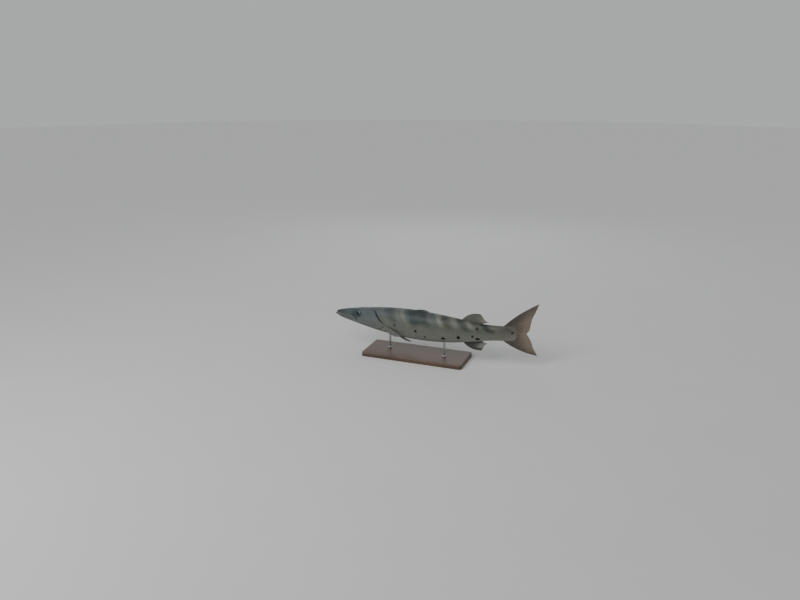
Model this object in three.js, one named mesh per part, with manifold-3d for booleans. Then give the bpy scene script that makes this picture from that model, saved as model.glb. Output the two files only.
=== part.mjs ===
// Great barracuda, a life-size still model on a plain display stand.
// Millimetres, +Z up, head toward -X, the fish's left side toward -Y.
// The fish is built straight along its own axis (along, side, up) and bent to the pose at the end.
import * as THREE from "three";
import { mergeVertices } from "three/addons/utils/BufferGeometryUtils.js";
import Module from "manifold-3d";

const wasm = await Module();
wasm.setup();

// Main sizes
const body_length = 785; // snout to the root of the tail fin
const gap = 0.3; // between neighbouring nodes
const ring_points = 36;
const head_step = 7;
const trunk_step = 22;

// Pose
const head_turn = 7.3; // degrees, head away from the viewer's side
const body_bend = 22.3; // degrees from head to tail root
const bend_start = 0.28;
const bend_power = 1.9;
const axis_height = 145; // body axis above the floor

// Body form, in percent of body length: along, top, bottom, half width, fullness above, fullness below
const body_form = [
  [0, 0.42, -2.1, 1.0, 2.4, 2.2],
  [2, 1.05, -3.05, 1.6, 2.4, 2.2],
  [5, 1.85, -3.75, 2.15, 2.4, 2.1],
  [10, 2.9, -4.65, 2.8, 2.5, 2.1],
  [15, 3.9, -5.5, 3.4, 2.6, 2.1],
  [20, 4.8, -6.25, 4.0, 2.5, 2.1],
  [25, 5.6, -6.9, 4.6, 2.4, 2.1],
  [30, 6.3, -7.45, 5.0, 2.3, 2.1],
  [37, 7.05, -8.05, 5.4, 2.2, 2.15],
  [45, 7.5, -8.45, 5.6, 2.2, 2.2],
  [55, 7.4, -8.45, 5.4, 2.2, 2.2],
  [65, 6.8, -7.9, 4.8, 2.2, 2.2],
  [73, 6.0, -7.0, 4.1, 2.2, 2.2],
  [80, 5.1, -5.9, 3.35, 2.2, 2.2],
  [85, 4.5, -5.1, 2.8, 2.2, 2.2],
  [90, 4.1, -4.45, 2.3, 2.2, 2.2],
  [95, 3.95, -4.15, 1.75, 2.2, 2.2],
  [98.5, 4.0, -4.2, 1.1, 2.2, 2.2],
  [101, 3.7, -3.9, 0.5, 2.2, 2.2],
];

// Where the lengths of the body part from each other, in percent
const head_end = 26;
const torso_cuts = [45, 63, 81];
const stalk_end = 101;
const stalk_bulge = 15;

// Mouth
const mouth_length = 100;
const mouth_front_z = -3;
const mouth_drop = 10;
const mouth_opening = 4.4;
const lip_gap = 0.35;
const lip_radius = 2.1;
const cavity_wall = 4;
const cavity_deep = 5;
const jaw_back_s = 134;
const jaw_back_z = -50;
const snout_round = 3;
const chin_ahead = 11;

// Eye
const eye_s = 117;
const eye_z = 13.4;
const eye_radius = 13.2;
const eye_depth = 5.4;
const eye_out = 2.0; // how far its middle stands out of the head
const orbit_rim = 2.4;

// Nostrils, two on each side: along, height, radius
const nostrils = [
  [91, 17, 1.5],
  [97, 18.5, 2.0],
];

// Teeth: how many on each side of a row, first and last place, length and radius
const upper_row = { count: 12, from: 9, to: 76, length: 2.3, radius: 0.7, inset: 1.5 };
const lower_row = { count: 10, from: 4, to: 82, length: 4.4, radius: 0.95, inset: 3.1 };
const upper_fangs = [
  [9, 3.6, 8.5, 1.5],
  [19, 4.6, 9, 1.6],
  [36, 6.4, 7, 1.4],
  [50, 8.2, 6, 1.3],
];
const chin_fang = [-5.2, 2.1, 5.5, 1.3];

// Gill cover, outline in percent
const cover_outline = [
  [20.2, 3.2],
  [23, 4.3],
  [25.6, 4.4],
  [26.9, 3.1],
  [28.4, 1.2],
  [30.0, -0.5],
  [31.9, -1.9],
  [32.2, -2.9],
  [30.6, -4.3],
  [27.5, -5.4],
  [23.5, -5.6],
  [20.0, -4.6],
  [18.6, -2.8],
  [19.2, 0.2],
];
const cover_out = 1.6; // how far its rear edge stands out
const cover_front_out = 0.3;
const cover_in = 2.6;
const cover_points = 30;

// Stand
const base_length = 440;
const base_width = 170;
const base_height = 18;
const base_round = 10;
const rod_radius = 4.5;
const rod_at = [0.335, 0.655]; // along the body

const percent = body_length / 100;
const rad = THREE.MathUtils.degToRad;

// Smooth value of one column of the body form at a distance along the axis.
function formValue(s, column) {
  const rows = body_form;
  const last = rows.length - 1;
  const x = Math.min(Math.max(s / percent, rows[0][0]), rows[last][0]);
  const secant = (i) => (rows[i + 1][column] - rows[i][column]) / (rows[i + 1][0] - rows[i][0]);
  const slope = (i) => {
    if (i === 0) return secant(0);
    if (i === last) return secant(last - 1);
    const a = rows[i][0] - rows[i - 1][0];
    const b = rows[i + 1][0] - rows[i][0];
    const up = rows[i + 1][column] - rows[i][column];
    const down = rows[i][column] - rows[i - 1][column];
    return (a * a * up + b * b * down) / (a * b * (a + b));
  };
  let i = 0;
  while (i < last - 1 && rows[i + 1][0] <= x) i += 1;
  const h = rows[i + 1][0] - rows[i][0];
  const t = (x - rows[i][0]) / h;
  const t2 = t * t;
  const t3 = t2 * t;
  return (
    (2 * t3 - 3 * t2 + 1) * rows[i][column] +
    (t3 - 2 * t2 + t) * h * slope(i) +
    (3 * t2 - 2 * t3) * rows[i + 1][column] +
    (t3 - t2) * h * slope(i + 1)
  );
}

// Body section at a distance along the axis: sizes in millimetres.
function bodyAt(s, grow = 0) {
  const top = formValue(s, 1) * percent + grow;
  const bottom = formValue(s, 2) * percent - grow;
  return {
    top,
    bottom,
    width: formValue(s, 3) * percent + grow,
    above: formValue(s, 4),
    below: formValue(s, 5),
    middle: (top + bottom) / 2 + 0.06 * (top - bottom),
  };
}

function sectionPoint(section, angle, scale = 1, centre = section.middle) {
  const c = Math.cos(angle);
  const d = Math.sin(angle);
  const power = 2 / (d > 0 ? section.above : section.below);
  const side = section.width * Math.sign(c) * Math.abs(c) ** power;
  const reach = d > 0 ? section.top - section.middle : section.middle - section.bottom;
  const up = section.middle + reach * Math.sign(d) * Math.abs(d) ** power;
  return [side * scale, centre + (up - centre) * scale];
}

// Half width of the body at a height.
function sideAt(s, z, grow = 0) {
  const section = bodyAt(s, grow);
  const up = z > section.middle;
  const reach = up ? section.top - section.middle : section.middle - section.bottom;
  const power = up ? section.above : section.below;
  const share = Math.min(Math.abs(z - section.middle) / reach, 1);
  return section.width * (1 - share ** power) ** (1 / power);
}

function bodyRing(s, grow = 0, scale = 1, centre = undefined, count = ring_points) {
  const section = bodyAt(Math.max(s, 0), grow);
  const ring = [];
  for (let j = 0; j < count; j += 1) {
    const angle = (2 * Math.PI * (j + 0.5)) / count;
    const [y, z] = sectionPoint(section, angle, scale, centre ?? section.middle);
    ring.push([s, y, z]);
  }
  return ring;
}

// Solids from points and faces, always turned to face outward.
function solidOf(points, faces) {
  let volume = 0;
  for (const [a, b, c] of faces) {
    const [p, q, r] = [points[a], points[b], points[c]];
    volume += p[0] * (q[1] * r[2] - q[2] * r[1]);
    volume -= p[1] * (q[0] * r[2] - q[2] * r[0]);
    volume += p[2] * (q[0] * r[1] - q[1] * r[0]);
  }
  const turned = volume < 0 ? faces.map(([a, b, c]) => [a, c, b]) : faces;
  return new wasm.Manifold(
    new wasm.Mesh({
      numProp: 3,
      vertProperties: new Float32Array(points.flat()),
      triVerts: new Uint32Array(turned.flat()),
    }),
  );
}

function loft(rings) {
  const n = rings[0].length;
  const points = rings.flat();
  const faces = [];
  for (let i = 0; i < rings.length - 1; i += 1) {
    for (let j = 0; j < n; j += 1) {
      const a = i * n + j;
      const b = i * n + ((j + 1) % n);
      faces.push([a, b, b + n], [a, b + n, a + n]);
    }
  }
  const ends = [rings[0], rings[rings.length - 1]].map((ring) =>
    [0, 1, 2].map((k) => ring.reduce((sum, p) => sum + p[k], 0) / n),
  );
  const first = points.push(ends[0]) - 1;
  const second = points.push(ends[1]) - 1;
  const shift = (rings.length - 1) * n;
  for (let j = 0; j < n; j += 1) {
    const k = (j + 1) % n;
    faces.push([first, k, j], [second, shift + j, shift + k]);
  }
  return solidOf(points, faces);
}

// Plate of an outline in the side view, between two side distances.
function plate(outline, y0, y1) {
  const corners = outline.map(([s, z]) => new THREE.Vector2(s, z));
  const turned = THREE.ShapeUtils.isClockWise(corners) ? [...outline].reverse() : outline;
  const n = turned.length;
  const caps = THREE.ShapeUtils.triangulateShape(
    turned.map(([s, z]) => new THREE.Vector2(s, z)),
    [],
  );
  const points = [...turned.map(([s, z]) => [s, y0, z]), ...turned.map(([s, z]) => [s, y1, z])];
  const faces = [];
  for (const [a, b, c] of caps) faces.push([a, b, c], [a + n, c + n, b + n]);
  for (let j = 0; j < n; j += 1) {
    const k = (j + 1) % n;
    faces.push([k, j, j + n], [k, j + n, k + n]);
  }
  return solidOf(points, faces);
}

// Outline moved outward by a distance.
function widen(outline, by) {
  const n = outline.length;
  const turn = THREE.ShapeUtils.isClockWise(outline.map(([s, z]) => new THREE.Vector2(s, z))) ? 1 : -1;
  return outline.map((p, i) => {
    const a = outline[(i + n - 1) % n];
    const b = outline[(i + 1) % n];
    const d = [b[0] - a[0], b[1] - a[1]];
    const size = Math.hypot(d[0], d[1]);
    return [p[0] - (turn * d[1] * by) / size, p[1] + (turn * d[0] * by) / size];
  });
}

function fromGeometry(geometry) {
  const plain = geometry.clone();
  plain.deleteAttribute("normal");
  plain.deleteAttribute("uv");
  const merged = mergeVertices(plain, 1e-4);
  const array = merged.attributes.position.array;
  const points = [];
  for (let i = 0; i < array.length; i += 3) points.push([array[i], array[i + 1], array[i + 2]]);
  const faces = [];
  const index = merged.index.array;
  for (let i = 0; i < index.length; i += 3) {
    const [a, b, c] = [index[i], index[i + 1], index[i + 2]];
    if (a !== b && b !== c && a !== c) faces.push([a, b, c]);
  }
  return solidOf(points, faces);
}

// Egg-shaped solid, its short axis turned to a direction.
function egg(centre, wide, deep, axis, around = 20, rows = 10) {
  const geometry = new THREE.SphereGeometry(1, around, rows);
  geometry.scale(wide, deep, wide);
  const short = new THREE.Vector3(0, 1, 0);
  geometry.applyQuaternion(new THREE.Quaternion().setFromUnitVectors(short, axis.clone().normalize()));
  geometry.translate(...centre);
  return fromGeometry(geometry);
}

// Round bar through a row of places, each with its own radius.
function bar(places, radii, around = 6) {
  const rings = places.map((place, i) => {
    const before = new THREE.Vector3(...places[Math.max(i - 1, 0)]);
    const after = new THREE.Vector3(...places[Math.min(i + 1, places.length - 1)]);
    const along = after.sub(before).normalize();
    const across = new THREE.Vector3(0, 0, 1).cross(along);
    if (across.length() < 0.1) across.set(0, 1, 0);
    across.normalize();
    const up = along.clone().cross(across);
    const ring = [];
    for (let j = 0; j < around; j += 1) {
      const angle = (2 * Math.PI * j) / around;
      const p = new THREE.Vector3(...place)
        .addScaledVector(across, radii[i] * Math.cos(angle))
        .addScaledVector(up, radii[i] * Math.sin(angle));
      ring.push([p.x, p.y, p.z]);
    }
    return ring;
  });
  return loft(rings);
}

// Pointed tooth, five-sided, from a root to a tip.
function tooth(root, tip, radius) {
  const along = new THREE.Vector3(...tip).sub(new THREE.Vector3(...root)).normalize();
  const across = new THREE.Vector3(1, 0, 0).cross(along).normalize();
  const other = along.clone().cross(across);
  const points = [tip];
  for (let j = 0; j < 5; j += 1) {
    const angle = (2 * Math.PI * j) / 5;
    const p = new THREE.Vector3(...root)
      .addScaledVector(across, radius * Math.cos(angle))
      .addScaledVector(other, radius * Math.sin(angle));
    points.push([p.x, p.y, p.z]);
  }
  const faces = [
    [1, 2, 3],
    [1, 3, 4],
    [1, 4, 5],
  ];
  for (let j = 0; j < 5; j += 1) faces.push([1 + ((j + 1) % 5), 1 + j, 0]);
  return solidOf(points, faces);
}

// Thin fin of rays and membrane. Each ray has a root, a tip and a bow, in the fin's own plane.
// place(u, v, h) puts a point of the plane, at a height off it, into the fish.
function fin(rays, sizes, place) {
  const { rows, crest, web, tip, ridges } = sizes;
  const columns = [];
  const along = (ray, t) => {
    const [a, b] = [ray.root, ray.tip];
    const across = [-(b[1] - a[1]), b[0] - a[0]];
    const bow = (ray.bow ?? 0) * 4 * t * (1 - t);
    return [a[0] + (b[0] - a[0]) * t + across[0] * bow, a[1] + (b[1] - a[1]) * t + across[1] * bow];
  };
  rays.forEach((ray, i) => {
    columns.push({ at: (t) => along(ray, t), thick: crest });
    const next = rays[i + 1];
    if (!next) return;
    columns.push({
      at: (t) => {
        const short = t * (1 - sizes.scallop);
        const [p, q] = [along(ray, short), along(next, short)];
        return [(p[0] + q[0]) / 2, (p[1] + q[1]) / 2];
      },
      thick: ridges ? web : crest,
    });
  });
  const points = [];
  for (const side of [1, -1]) {
    for (const column of columns) {
      for (let k = 0; k <= rows; k += 1) {
        const t = k / rows;
        const [u, v] = column.at(t);
        const half = (column.thick + (Math.min(tip, column.thick) - column.thick) * t) / 2;
        points.push(place(u, v, side * half));
      }
    }
  }
  const width = rows + 1;
  const half = columns.length * width;
  const faces = [];
  const last = columns.length - 1;
  for (let i = 0; i < last; i += 1) {
    for (let k = 0; k < rows; k += 1) {
      const a = i * width + k;
      const b = a + width;
      faces.push([a, b, b + 1], [a, b + 1, a + 1]);
      faces.push([a + half, b + 1 + half, b + half], [a + half, a + 1 + half, b + 1 + half]);
    }
    for (const k of [0, rows]) {
      const a = i * width + k;
      const b = a + width;
      if (k === 0) faces.push([b, a, a + half], [b, a + half, b + half]);
      else faces.push([a, b, b + half], [a, b + half, a + half]);
    }
  }
  for (let k = 0; k < rows; k += 1) {
    const a = k;
    const b = last * width + k;
    faces.push([a, a + 1, a + 1 + half], [a, a + 1 + half, a + half]);
    faces.push([b + 1, b, b + half], [b + 1, b + half, b + 1 + half]);
  }
  return solidOf(points, faces);
}

const median = (u, v, h) => [u, h, v];
const mix = (a, b, t) => a + (b - a) * t;

// Smooth curve through a few named places, by a share from 0 to 1.
function through(list, t) {
  const curve = new THREE.CatmullRomCurve3(list.map(([a, b]) => new THREE.Vector3(a, b, 0)));
  const p = curve.getPoint(t);
  return [p.x, p.y];
}

// The pose: a point of the straight fish goes to its place on the bent axis.
const axis_steps = 2400;
const axis_from = -40;
const axis_to = 1020;
const axis_points = [];
{
  let x = 0;
  let y = 0;
  const step = (axis_to - axis_from) / axis_steps;
  for (let i = 0; i <= axis_steps; i += 1) {
    const s = axis_from + i * step;
    const t = Math.max((s / body_length - bend_start) / (1 - bend_start), 0);
    const turn = rad(head_turn - body_bend * t ** bend_power);
    if (i) {
      x += Math.cos(turn) * step;
      y -= Math.sin(turn) * step;
    }
    axis_points.push([x, y, turn]);
  }
}

function onAxis(s) {
  const f = Math.min(Math.max(((s - axis_from) / (axis_to - axis_from)) * axis_steps, 0), axis_steps - 1e-6);
  const i = Math.floor(f);
  return [0, 1, 2].map((k) => mix(axis_points[i][k], axis_points[i + 1][k], f - i));
}

const rods_middle = rod_at.map((r) => onAxis(r * body_length));
const middle_x = (rods_middle[0][0] + rods_middle[1][0]) / 2;
const middle_y = (rods_middle[0][1] + rods_middle[1][1]) / 2;

function posed([s, y, z]) {
  const [ax, ay, turn] = onAxis(s);
  return [ax + y * Math.sin(turn) - middle_x, ay + y * Math.cos(turn) - middle_y, z + axis_height];
}

function largest(solid) {
  return solid.decompose().reduce((best, part) => (part.volume() > best.volume() ? part : best));
}

function bent(solid) {
  const mesh = solid.getMesh();
  const points = [];
  for (let i = 0; i < mesh.numVert; i += 1) {
    points.push(posed([...mesh.vertProperties.subarray(i * mesh.numProp, i * mesh.numProp + 3)]));
  }
  const faces = [];
  for (let i = 0; i < mesh.numTri; i += 1) faces.push([...mesh.triVerts.subarray(i * 3, i * 3 + 3)]);
  return solidOf(points, faces);
}

const object = new THREE.Group();
object.name = "great_barracuda";

function add(name, solid, colour, roughness, metalness = 0) {
  const mesh = solid.getMesh();
  const geometry = new THREE.BufferGeometry();
  const array = new Float32Array(mesh.numVert * 3);
  for (let i = 0; i < mesh.numVert; i += 1) {
    array.set(mesh.vertProperties.subarray(i * mesh.numProp, i * mesh.numProp + 3), i * 3);
  }
  geometry.setAttribute("position", new THREE.BufferAttribute(array, 3));
  geometry.setIndex(new THREE.BufferAttribute(new Uint32Array(mesh.triVerts), 1));
  geometry.computeVertexNormals();
  const finish = new THREE.MeshStandardMaterial({ color: colour, roughness, metalness });
  const node = new THREE.Mesh(geometry, finish);
  node.name = name;
  object.add(node);
}

// Colours, from the photo
const flank_colour = "#8c9c94";
const back_colour = "#5f7a78";
const cover_colour = "#97a5a0";
const jaw_colour = "#76888a";
const eye_colour = "#20262a";
const tail_colour = "#6f5c4c";
const fin_colour = "#4c5654";
const pale_fin_colour = "#a3a89c";
const base_colour = "#3b2c22";
const rod_colour = "#b9bcbe";

function trunk(from, to, grow = 0, step = trunk_step) {
  const count = Math.max(2, Math.ceil((to - from) / step));
  const rings = [];
  for (let i = 0; i <= count; i += 1) rings.push(bodyRing(mix(from, to, i / count), grow));
  return rings;
}

function nose(length, centre) {
  return [0.98, 0.9, 0.72, 0.45, 0.2].map((t) => bodyRing(-length * t, 0, Math.sqrt(1 - t), centre));
}

// Round rear edge of the tail stalk, in the side view.
function stalkEdge(by) {
  const edge = [];
  for (let i = 0; i <= 8; i += 1) {
    const z = mix(-46, 46, i / 8);
    edge.push([stalk_end * percent - stalk_bulge * (z / 34) ** 2 + by, z]);
  }
  const back = edge[0][0];
  return [[-40, -90], [back, -90], ...edge, [back, 90], [-40, 90]];
}

// Body grown by the gap: what the fins and rods stop at.
const trunk_grown = loft(trunk(0, (stalk_end + 1) * percent, gap, 14));
const body_grown = trunk_grown.intersect(plate(stalkEdge(gap), -90, 90));

// Mouth
const mouthTop = (s) => mouth_front_z - mouth_drop * (Math.max(s, 0) / mouth_length) ** 1.15;
const mouthBottom = (s) => mouthTop(s) - lip_gap - mouth_opening * (1 - Math.max(s, 0) / mouth_length);
const mouth_stops = [-20, 0, 15, 30, 45, 60, 80, 100];
const upper_cut = [
  ...mouth_stops.map((s) => [s, mouthTop(s)]),
  [jaw_back_s + 0.4, jaw_back_z],
  [jaw_back_s + 0.4, -80],
  [-20, -80],
];
const lower_cut = [
  ...mouth_stops.map((s) => [s, mouthBottom(s)]),
  [jaw_back_s, jaw_back_z],
  [jaw_back_s, -80],
  [-20, -80],
];

// Gill covers: flush at the front, standing out over the slit at the rear
const cover_edge = new THREE.CatmullRomCurve3(
  cover_outline.map(([s, z]) => new THREE.Vector3(s * percent, z * percent, 0)),
  true,
)
  .getSpacedPoints(cover_points)
  .slice(0, cover_points)
  .map((p) => [p.x, p.y]);
const coverLift = (s) => mix(cover_front_out, cover_out, THREE.MathUtils.smoothstep(s / percent, 19, 28));
function shellRings(grow, from, to) {
  const rings = [];
  for (let i = 0; i <= 10; i += 1) {
    const s = mix(from, to, i / 10) * percent;
    rings.push(bodyRing(s, typeof grow === "function" ? grow(s) : grow));
  }
  return loft(rings);
}
function cover(side) {
  const shell = shellRings(coverLift, 17, 34).subtract(shellRings(-cover_in, 16, 35));
  return largest(shell.intersect(plate(cover_edge, side * 2, side * 70))).simplify(0.04);
}
function coverPocket(side) {
  const shell = shellRings(6, 16, 35).subtract(shellRings(-cover_in - gap, 15, 36));
  return shell.intersect(plate(widen(cover_edge, gap), side * 2, side * 70));
}

// Eyes
// It looks the way the skin faces there.
function eyeAxis(side) {
  const reach = 6;
  const along = (sideAt(eye_s + reach, eye_z) - sideAt(eye_s - reach, eye_z)) / (2 * reach);
  const rise = (sideAt(eye_s, eye_z + reach) - sideAt(eye_s, eye_z - reach)) / (2 * reach);
  return new THREE.Vector3(-along, side, -rise).normalize();
}
function eyeCentre(side, sunk) {
  const place = new THREE.Vector3(eye_s, side * sideAt(eye_s, eye_z), eye_z);
  return place.addScaledVector(eyeAxis(side), -sunk).toArray();
}
const eye = (side, grow = 0) =>
  egg(eyeCentre(side, eye_depth - eye_out), eye_radius + grow, eye_depth + grow, eyeAxis(side), 20, 10);
function orbit(side) {
  const centre = eyeCentre(side, eye_depth - eye_out + 0.8);
  return egg(centre, eye_radius + orbit_rim, eye_depth + 0.1, eyeAxis(side), 24, 12);
}

// Head and jaw
const mouthSide = (s, z) => sideAt(Math.max(s, 0), z) * Math.sqrt(1 + Math.min(s, 0) / chin_ahead);
function mouthCavity() {
  const rings = [2, 8, 25, 45, 70, 92].map((s) => {
    const wide = mouthSide(s, mouthTop(s)) - cavity_wall;
    const deep = cavity_deep * (1 - s / 120);
    const middle = (mouthTop(s) + mouthBottom(s)) / 2;
    const tall = (mouthTop(s) - mouthBottom(s)) / 2 + deep;
    const ring = [];
    for (let j = 0; j < 12; j += 1) {
      const angle = (2 * Math.PI * j) / 12;
      ring.push([s, wide * Math.cos(angle), middle + tall * Math.sin(angle)]);
    }
    return ring;
  });
  return loft(rings);
}
function lip(side, edge, lift) {
  const stops = [0.5, 5, 14, 30, 48, 66, 84, 99];
  const places = stops.map((s) => [s, side * (mouthSide(s, edge(s)) - 1.2), edge(s) + lift]);
  return bar(
    places,
    stops.map((s) => lip_radius * Math.min(1, 0.35 + s / 16, (108 - s) / 22)),
  );
}
function cheekPlate(side) {
  // The upper jaw's plate, which ends below the front of the eye.
  const places = [76, 88, 98, 107].map((s) => {
    const z = mouthTop(s) + 3.2;
    return [s, side * (sideAt(s, z) - 1.6), z];
  });
  return bar(places, [1.6, 2.6, 3.2, 2.0], 8);
}
const room = (s) => mouthTop(s) - mouthBottom(s);
function rowOfTeeth(side, row, edge, way) {
  const teeth = [];
  for (let i = 0; i < row.count; i += 1) {
    const s = mix(row.from, row.to, i / (row.count - 1));
    const long = Math.min(row.length, room(s) - 0.4);
    if (long < 0.7) continue;
    const y = side * (mouthSide(s, edge(s)) - row.inset);
    teeth.push(tooth([s, y, edge(s) - way * 1.6], [s + 0.3, y, edge(s) + way * long], row.radius));
  }
  return teeth;
}

let head = loft([...nose(snout_round, -0.2), ...trunk(0, head_end * percent, 0, head_step)]);
let jaw = loft([...nose(chin_ahead, -10), ...trunk(0, 20 * percent, 0, head_step)]);
for (const side of [1, -1]) {
  head = head.add(orbit(side)).add(lip(side, mouthTop, 1.4)).add(cheekPlate(side));
  jaw = jaw.add(lip(side, mouthBottom, -1.3));
}
head = head.subtract(plate(upper_cut, -90, 90)).subtract(mouthCavity());
jaw = jaw.intersect(plate(lower_cut, -90, 90)).subtract(mouthCavity());
for (const side of [1, -1]) {
  head = head.subtract(eye(side, gap)).subtract(coverPocket(side));
  for (const [s, z, r] of nostrils) {
    const y = side * sideAt(s, z);
    head = head.subtract(egg([s, y, z], r, r, new THREE.Vector3(0, side, 1), 8, 6));
  }
  for (const [s, y, long, radius] of upper_fangs) {
    const z = mouthTop(s);
    const root = [s, side * y, z + cavity_deep + 1.5];
    head = head.add(tooth(root, [s + 1.2, side * y * 0.9, z - long + cavity_deep], radius));
  }
  for (const one of rowOfTeeth(side, upper_row, mouthTop, -1)) head = head.add(one);
  for (const one of rowOfTeeth(side, lower_row, mouthBottom, 1)) jaw = jaw.add(one);
  const [s, y, long, radius] = chin_fang;
  const z = mouthBottom(s);
  jaw = jaw.add(tooth([s, side * y, z - 1.5], [s + 1, side * y * 0.8, z + long], radius));
}
head = head.simplify(0.04);
jaw = jaw.simplify(0.04);

let torso_front = loft(trunk(head_end * percent + gap, torso_cuts[0] * percent, 0));
torso_front = torso_front.subtract(coverPocket(1)).subtract(coverPocket(-1)).simplify(0.04);

// Fins in the middle plane
const rayed = { rows: 7, crest: 1.9, web: 1.0, tip: 0.7, scallop: 0.02, ridges: true };

function rayFan(count, rootAt, tipAt, bowAt) {
  const rays = [];
  for (let i = 0; i < count; i += 1) {
    const t = i / (count - 1);
    rays.push({ root: rootAt(t), tip: tipAt(t), bow: bowAt ? bowAt(t) : 0 });
  }
  return rays;
}
const scaled = ([s, z]) => [s * percent, z * percent];

const spine_rays = rayFan(
  5,
  (t) => scaled([mix(43.6, 51, t), 6.4]),
  (t) => scaled(through([[52.6, 8.55], [54.6, 8.6], [56.2, 8.3], [57.2, 7.9]], t)),
  () => 0.02,
);
const dorsal_rays = rayFan(
  10,
  (t) => scaled([mix(74.2, 83.6, t), mix(4.9, 3.6, t)]),
  (t) => scaled(through([[84.6, 9.6], [85.7, 8.1], [86.9, 6.5], [88.6, 5.3]], t)),
  (t) => mix(0.16, 0.05, t),
);
const anal_rays = rayFan(
  10,
  (t) => scaled([mix(75.0, 84.2, t), mix(-5.5, -4.2, t)]),
  (t) => scaled(through([[85.6, -10.2], [86.4, -8.8], [87.2, -7.2], [88.6, -6.1]], t)),
  (t) => mix(-0.14, -0.05, t),
);
const tail_rays = rayFan(
  17,
  (t) => scaled([mix(96.4, 99.4, 1 - (2 * t - 1) ** 2), mix(-4.0, 3.8, t)]),
  (t) => {
    const w = 2 * t - 1;
    const up = [[108.4, 0], [109.7, 1.7], [110.2, 4.4], [110.9, 8.1], [112.6, 12], [114.2, 16.2]];
    const low = [[108.4, 0], [109.6, -1.8], [110.9, -4.3], [112, -7.4], [113.3, -10], [114.5, -12.2]];
    return scaled(through(w > 0 ? up : low, Math.abs(w)));
  },
  (t) => 0.05 * (2 * t - 1),
);

const spiny = { ...rayed, rows: 6, crest: 2.6, web: 1.3, tip: 0.9 };
const broad = { ...rayed, rows: 8, crest: 2.8, web: 1.6, tip: 0.8, scallop: 0.008 };
const medianFin = (rays, sizes) => largest(fin(rays, sizes, median).subtract(body_grown));
const dorsal_front = medianFin(spine_rays, spiny);
const dorsal_rear = medianFin(dorsal_rays, rayed);
const anal = medianFin(anal_rays, rayed);
const tail = medianFin(tail_rays, broad);

// Paired fins, each in a plane of its own
function pairedFin(side, at, back, out, down, twist, rays, sizes) {
  const along = new THREE.Vector3(back, side * out, -down).normalize();
  const up = new THREE.Vector3(0, side * Math.sin(rad(twist)), Math.cos(rad(twist)));
  const across = up.clone().addScaledVector(along, -up.dot(along)).normalize();
  const normal = along.clone().cross(across);
  const [s, z] = scaled(at);
  const origin = new THREE.Vector3(s, side * sideAt(s, z), z);
  const place = (u, v, h) => {
    const p = origin.clone().addScaledVector(along, u).addScaledVector(across, v).addScaledVector(normal, h);
    return [p.x, p.y, p.z];
  };
  return largest(fin(rays, sizes, place).subtract(body_grown));
}
const pectoral_rays = rayFan(
  11,
  (t) => [-9, mix(-8, 8, t)],
  (t) => through([[30, -17], [48, -14], [66, -6], [82, 6], [88, 14]], t),
  (t) => mix(-0.04, 0.04, t),
);
const pelvic_rays = rayFan(
  6,
  (t) => [-7, mix(-5, 6, t)],
  (t) => through([[34, -13], [47, -8], [60, 2], [66, 9]], t),
  (t) => mix(-0.03, 0.03, t),
);

const pectoral_sizes = { ...rayed, crest: 1.7, web: 0.9 };
const pelvic_sizes = { ...rayed, crest: 1.9, rows: 5 };
add("head", bent(largest(head)), back_colour, 0.4);
add("lower_jaw", bent(largest(jaw)), jaw_colour, 0.4);
for (const [word, side] of [["left", -1], ["right", 1]]) {
  add("eye_" + word, bent(eye(side)), eye_colour, 0.1);
  add("gill_cover_" + word, bent(cover(side)), cover_colour, 0.35);
  const pectoral = pairedFin(side, [32.9, -3.4], 1, 0.2, 0.36, 16, pectoral_rays, pectoral_sizes);
  add("pectoral_fin_" + word, bent(pectoral), pale_fin_colour, 0.45);
  const pelvic = pairedFin(side, [40.6, -7.5], 1, 0.16, 0.22, 38, pelvic_rays, pelvic_sizes);
  add("pelvic_fin_" + word, bent(pelvic), pale_fin_colour, 0.45);
}

// Lengths of the body
add("torso_front", bent(largest(torso_front)), flank_colour, 0.35);
const starts = torso_cuts.map((cut) => cut * percent + gap);
const ends = [...torso_cuts.slice(1), stalk_end].map((cut) => cut * percent);
["torso_middle", "torso_rear", "tail_stalk"].forEach((name, i) => {
  let length = loft(trunk(starts[i], ends[i]));
  if (name === "tail_stalk") length = length.intersect(plate(stalkEdge(0), -90, 90));
  add(name, bent(length), flank_colour, 0.35);
});

add("dorsal_fin_front", bent(dorsal_front), fin_colour, 0.45);
add("dorsal_fin_rear", bent(dorsal_rear), fin_colour, 0.45);
add("anal_fin", bent(anal), fin_colour, 0.45);
add("tail_fin", bent(tail), tail_colour, 0.45);

// Stand
function board() {
  const rings = [];
  const corner = (x, y, r, z) => {
    const ring = [];
    const centres = [[x - r, y - r, 0], [r - x, y - r, 90], [r - x, r - y, 180], [x - r, r - y, 270]];
    for (const [cx, cy, start] of centres) {
      for (let i = 0; i <= 6; i += 1) {
        const angle = rad(start + i * 15);
        ring.push([cx + r * Math.cos(angle), cy + r * Math.sin(angle), z]);
      }
    }
    return ring;
  };
  const [x, y] = [base_length / 2, base_width / 2];
  rings.push(corner(x, y, base_round, 0), corner(x, y, base_round, base_height - 3));
  rings.push(corner(x - 0.9, y - 0.9, base_round - 0.9, base_height - 0.9));
  rings.push(corner(x - 3, y - 3, base_round - 3, base_height));
  return loft(rings);
}
add("stand_base", board(), base_colour, 0.35);
const grown_posed = bent(body_grown);
["stand_rod_front", "stand_rod_rear"].forEach((name, i) => {
  const [x, y] = posed([rod_at[i] * body_length, 0, 0]);
  const rings = [base_height + gap, axis_height].map((z) => {
    const ring = [];
    for (let j = 0; j < 24; j += 1) {
      const angle = rad(j * 15);
      ring.push([x + rod_radius * Math.cos(angle), y + rod_radius * Math.sin(angle), z]);
    }
    return ring;
  });
  add(name, largest(loft(rings).subtract(grown_posed)), rod_colour, 0.3, 1);
});

export default object;
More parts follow.
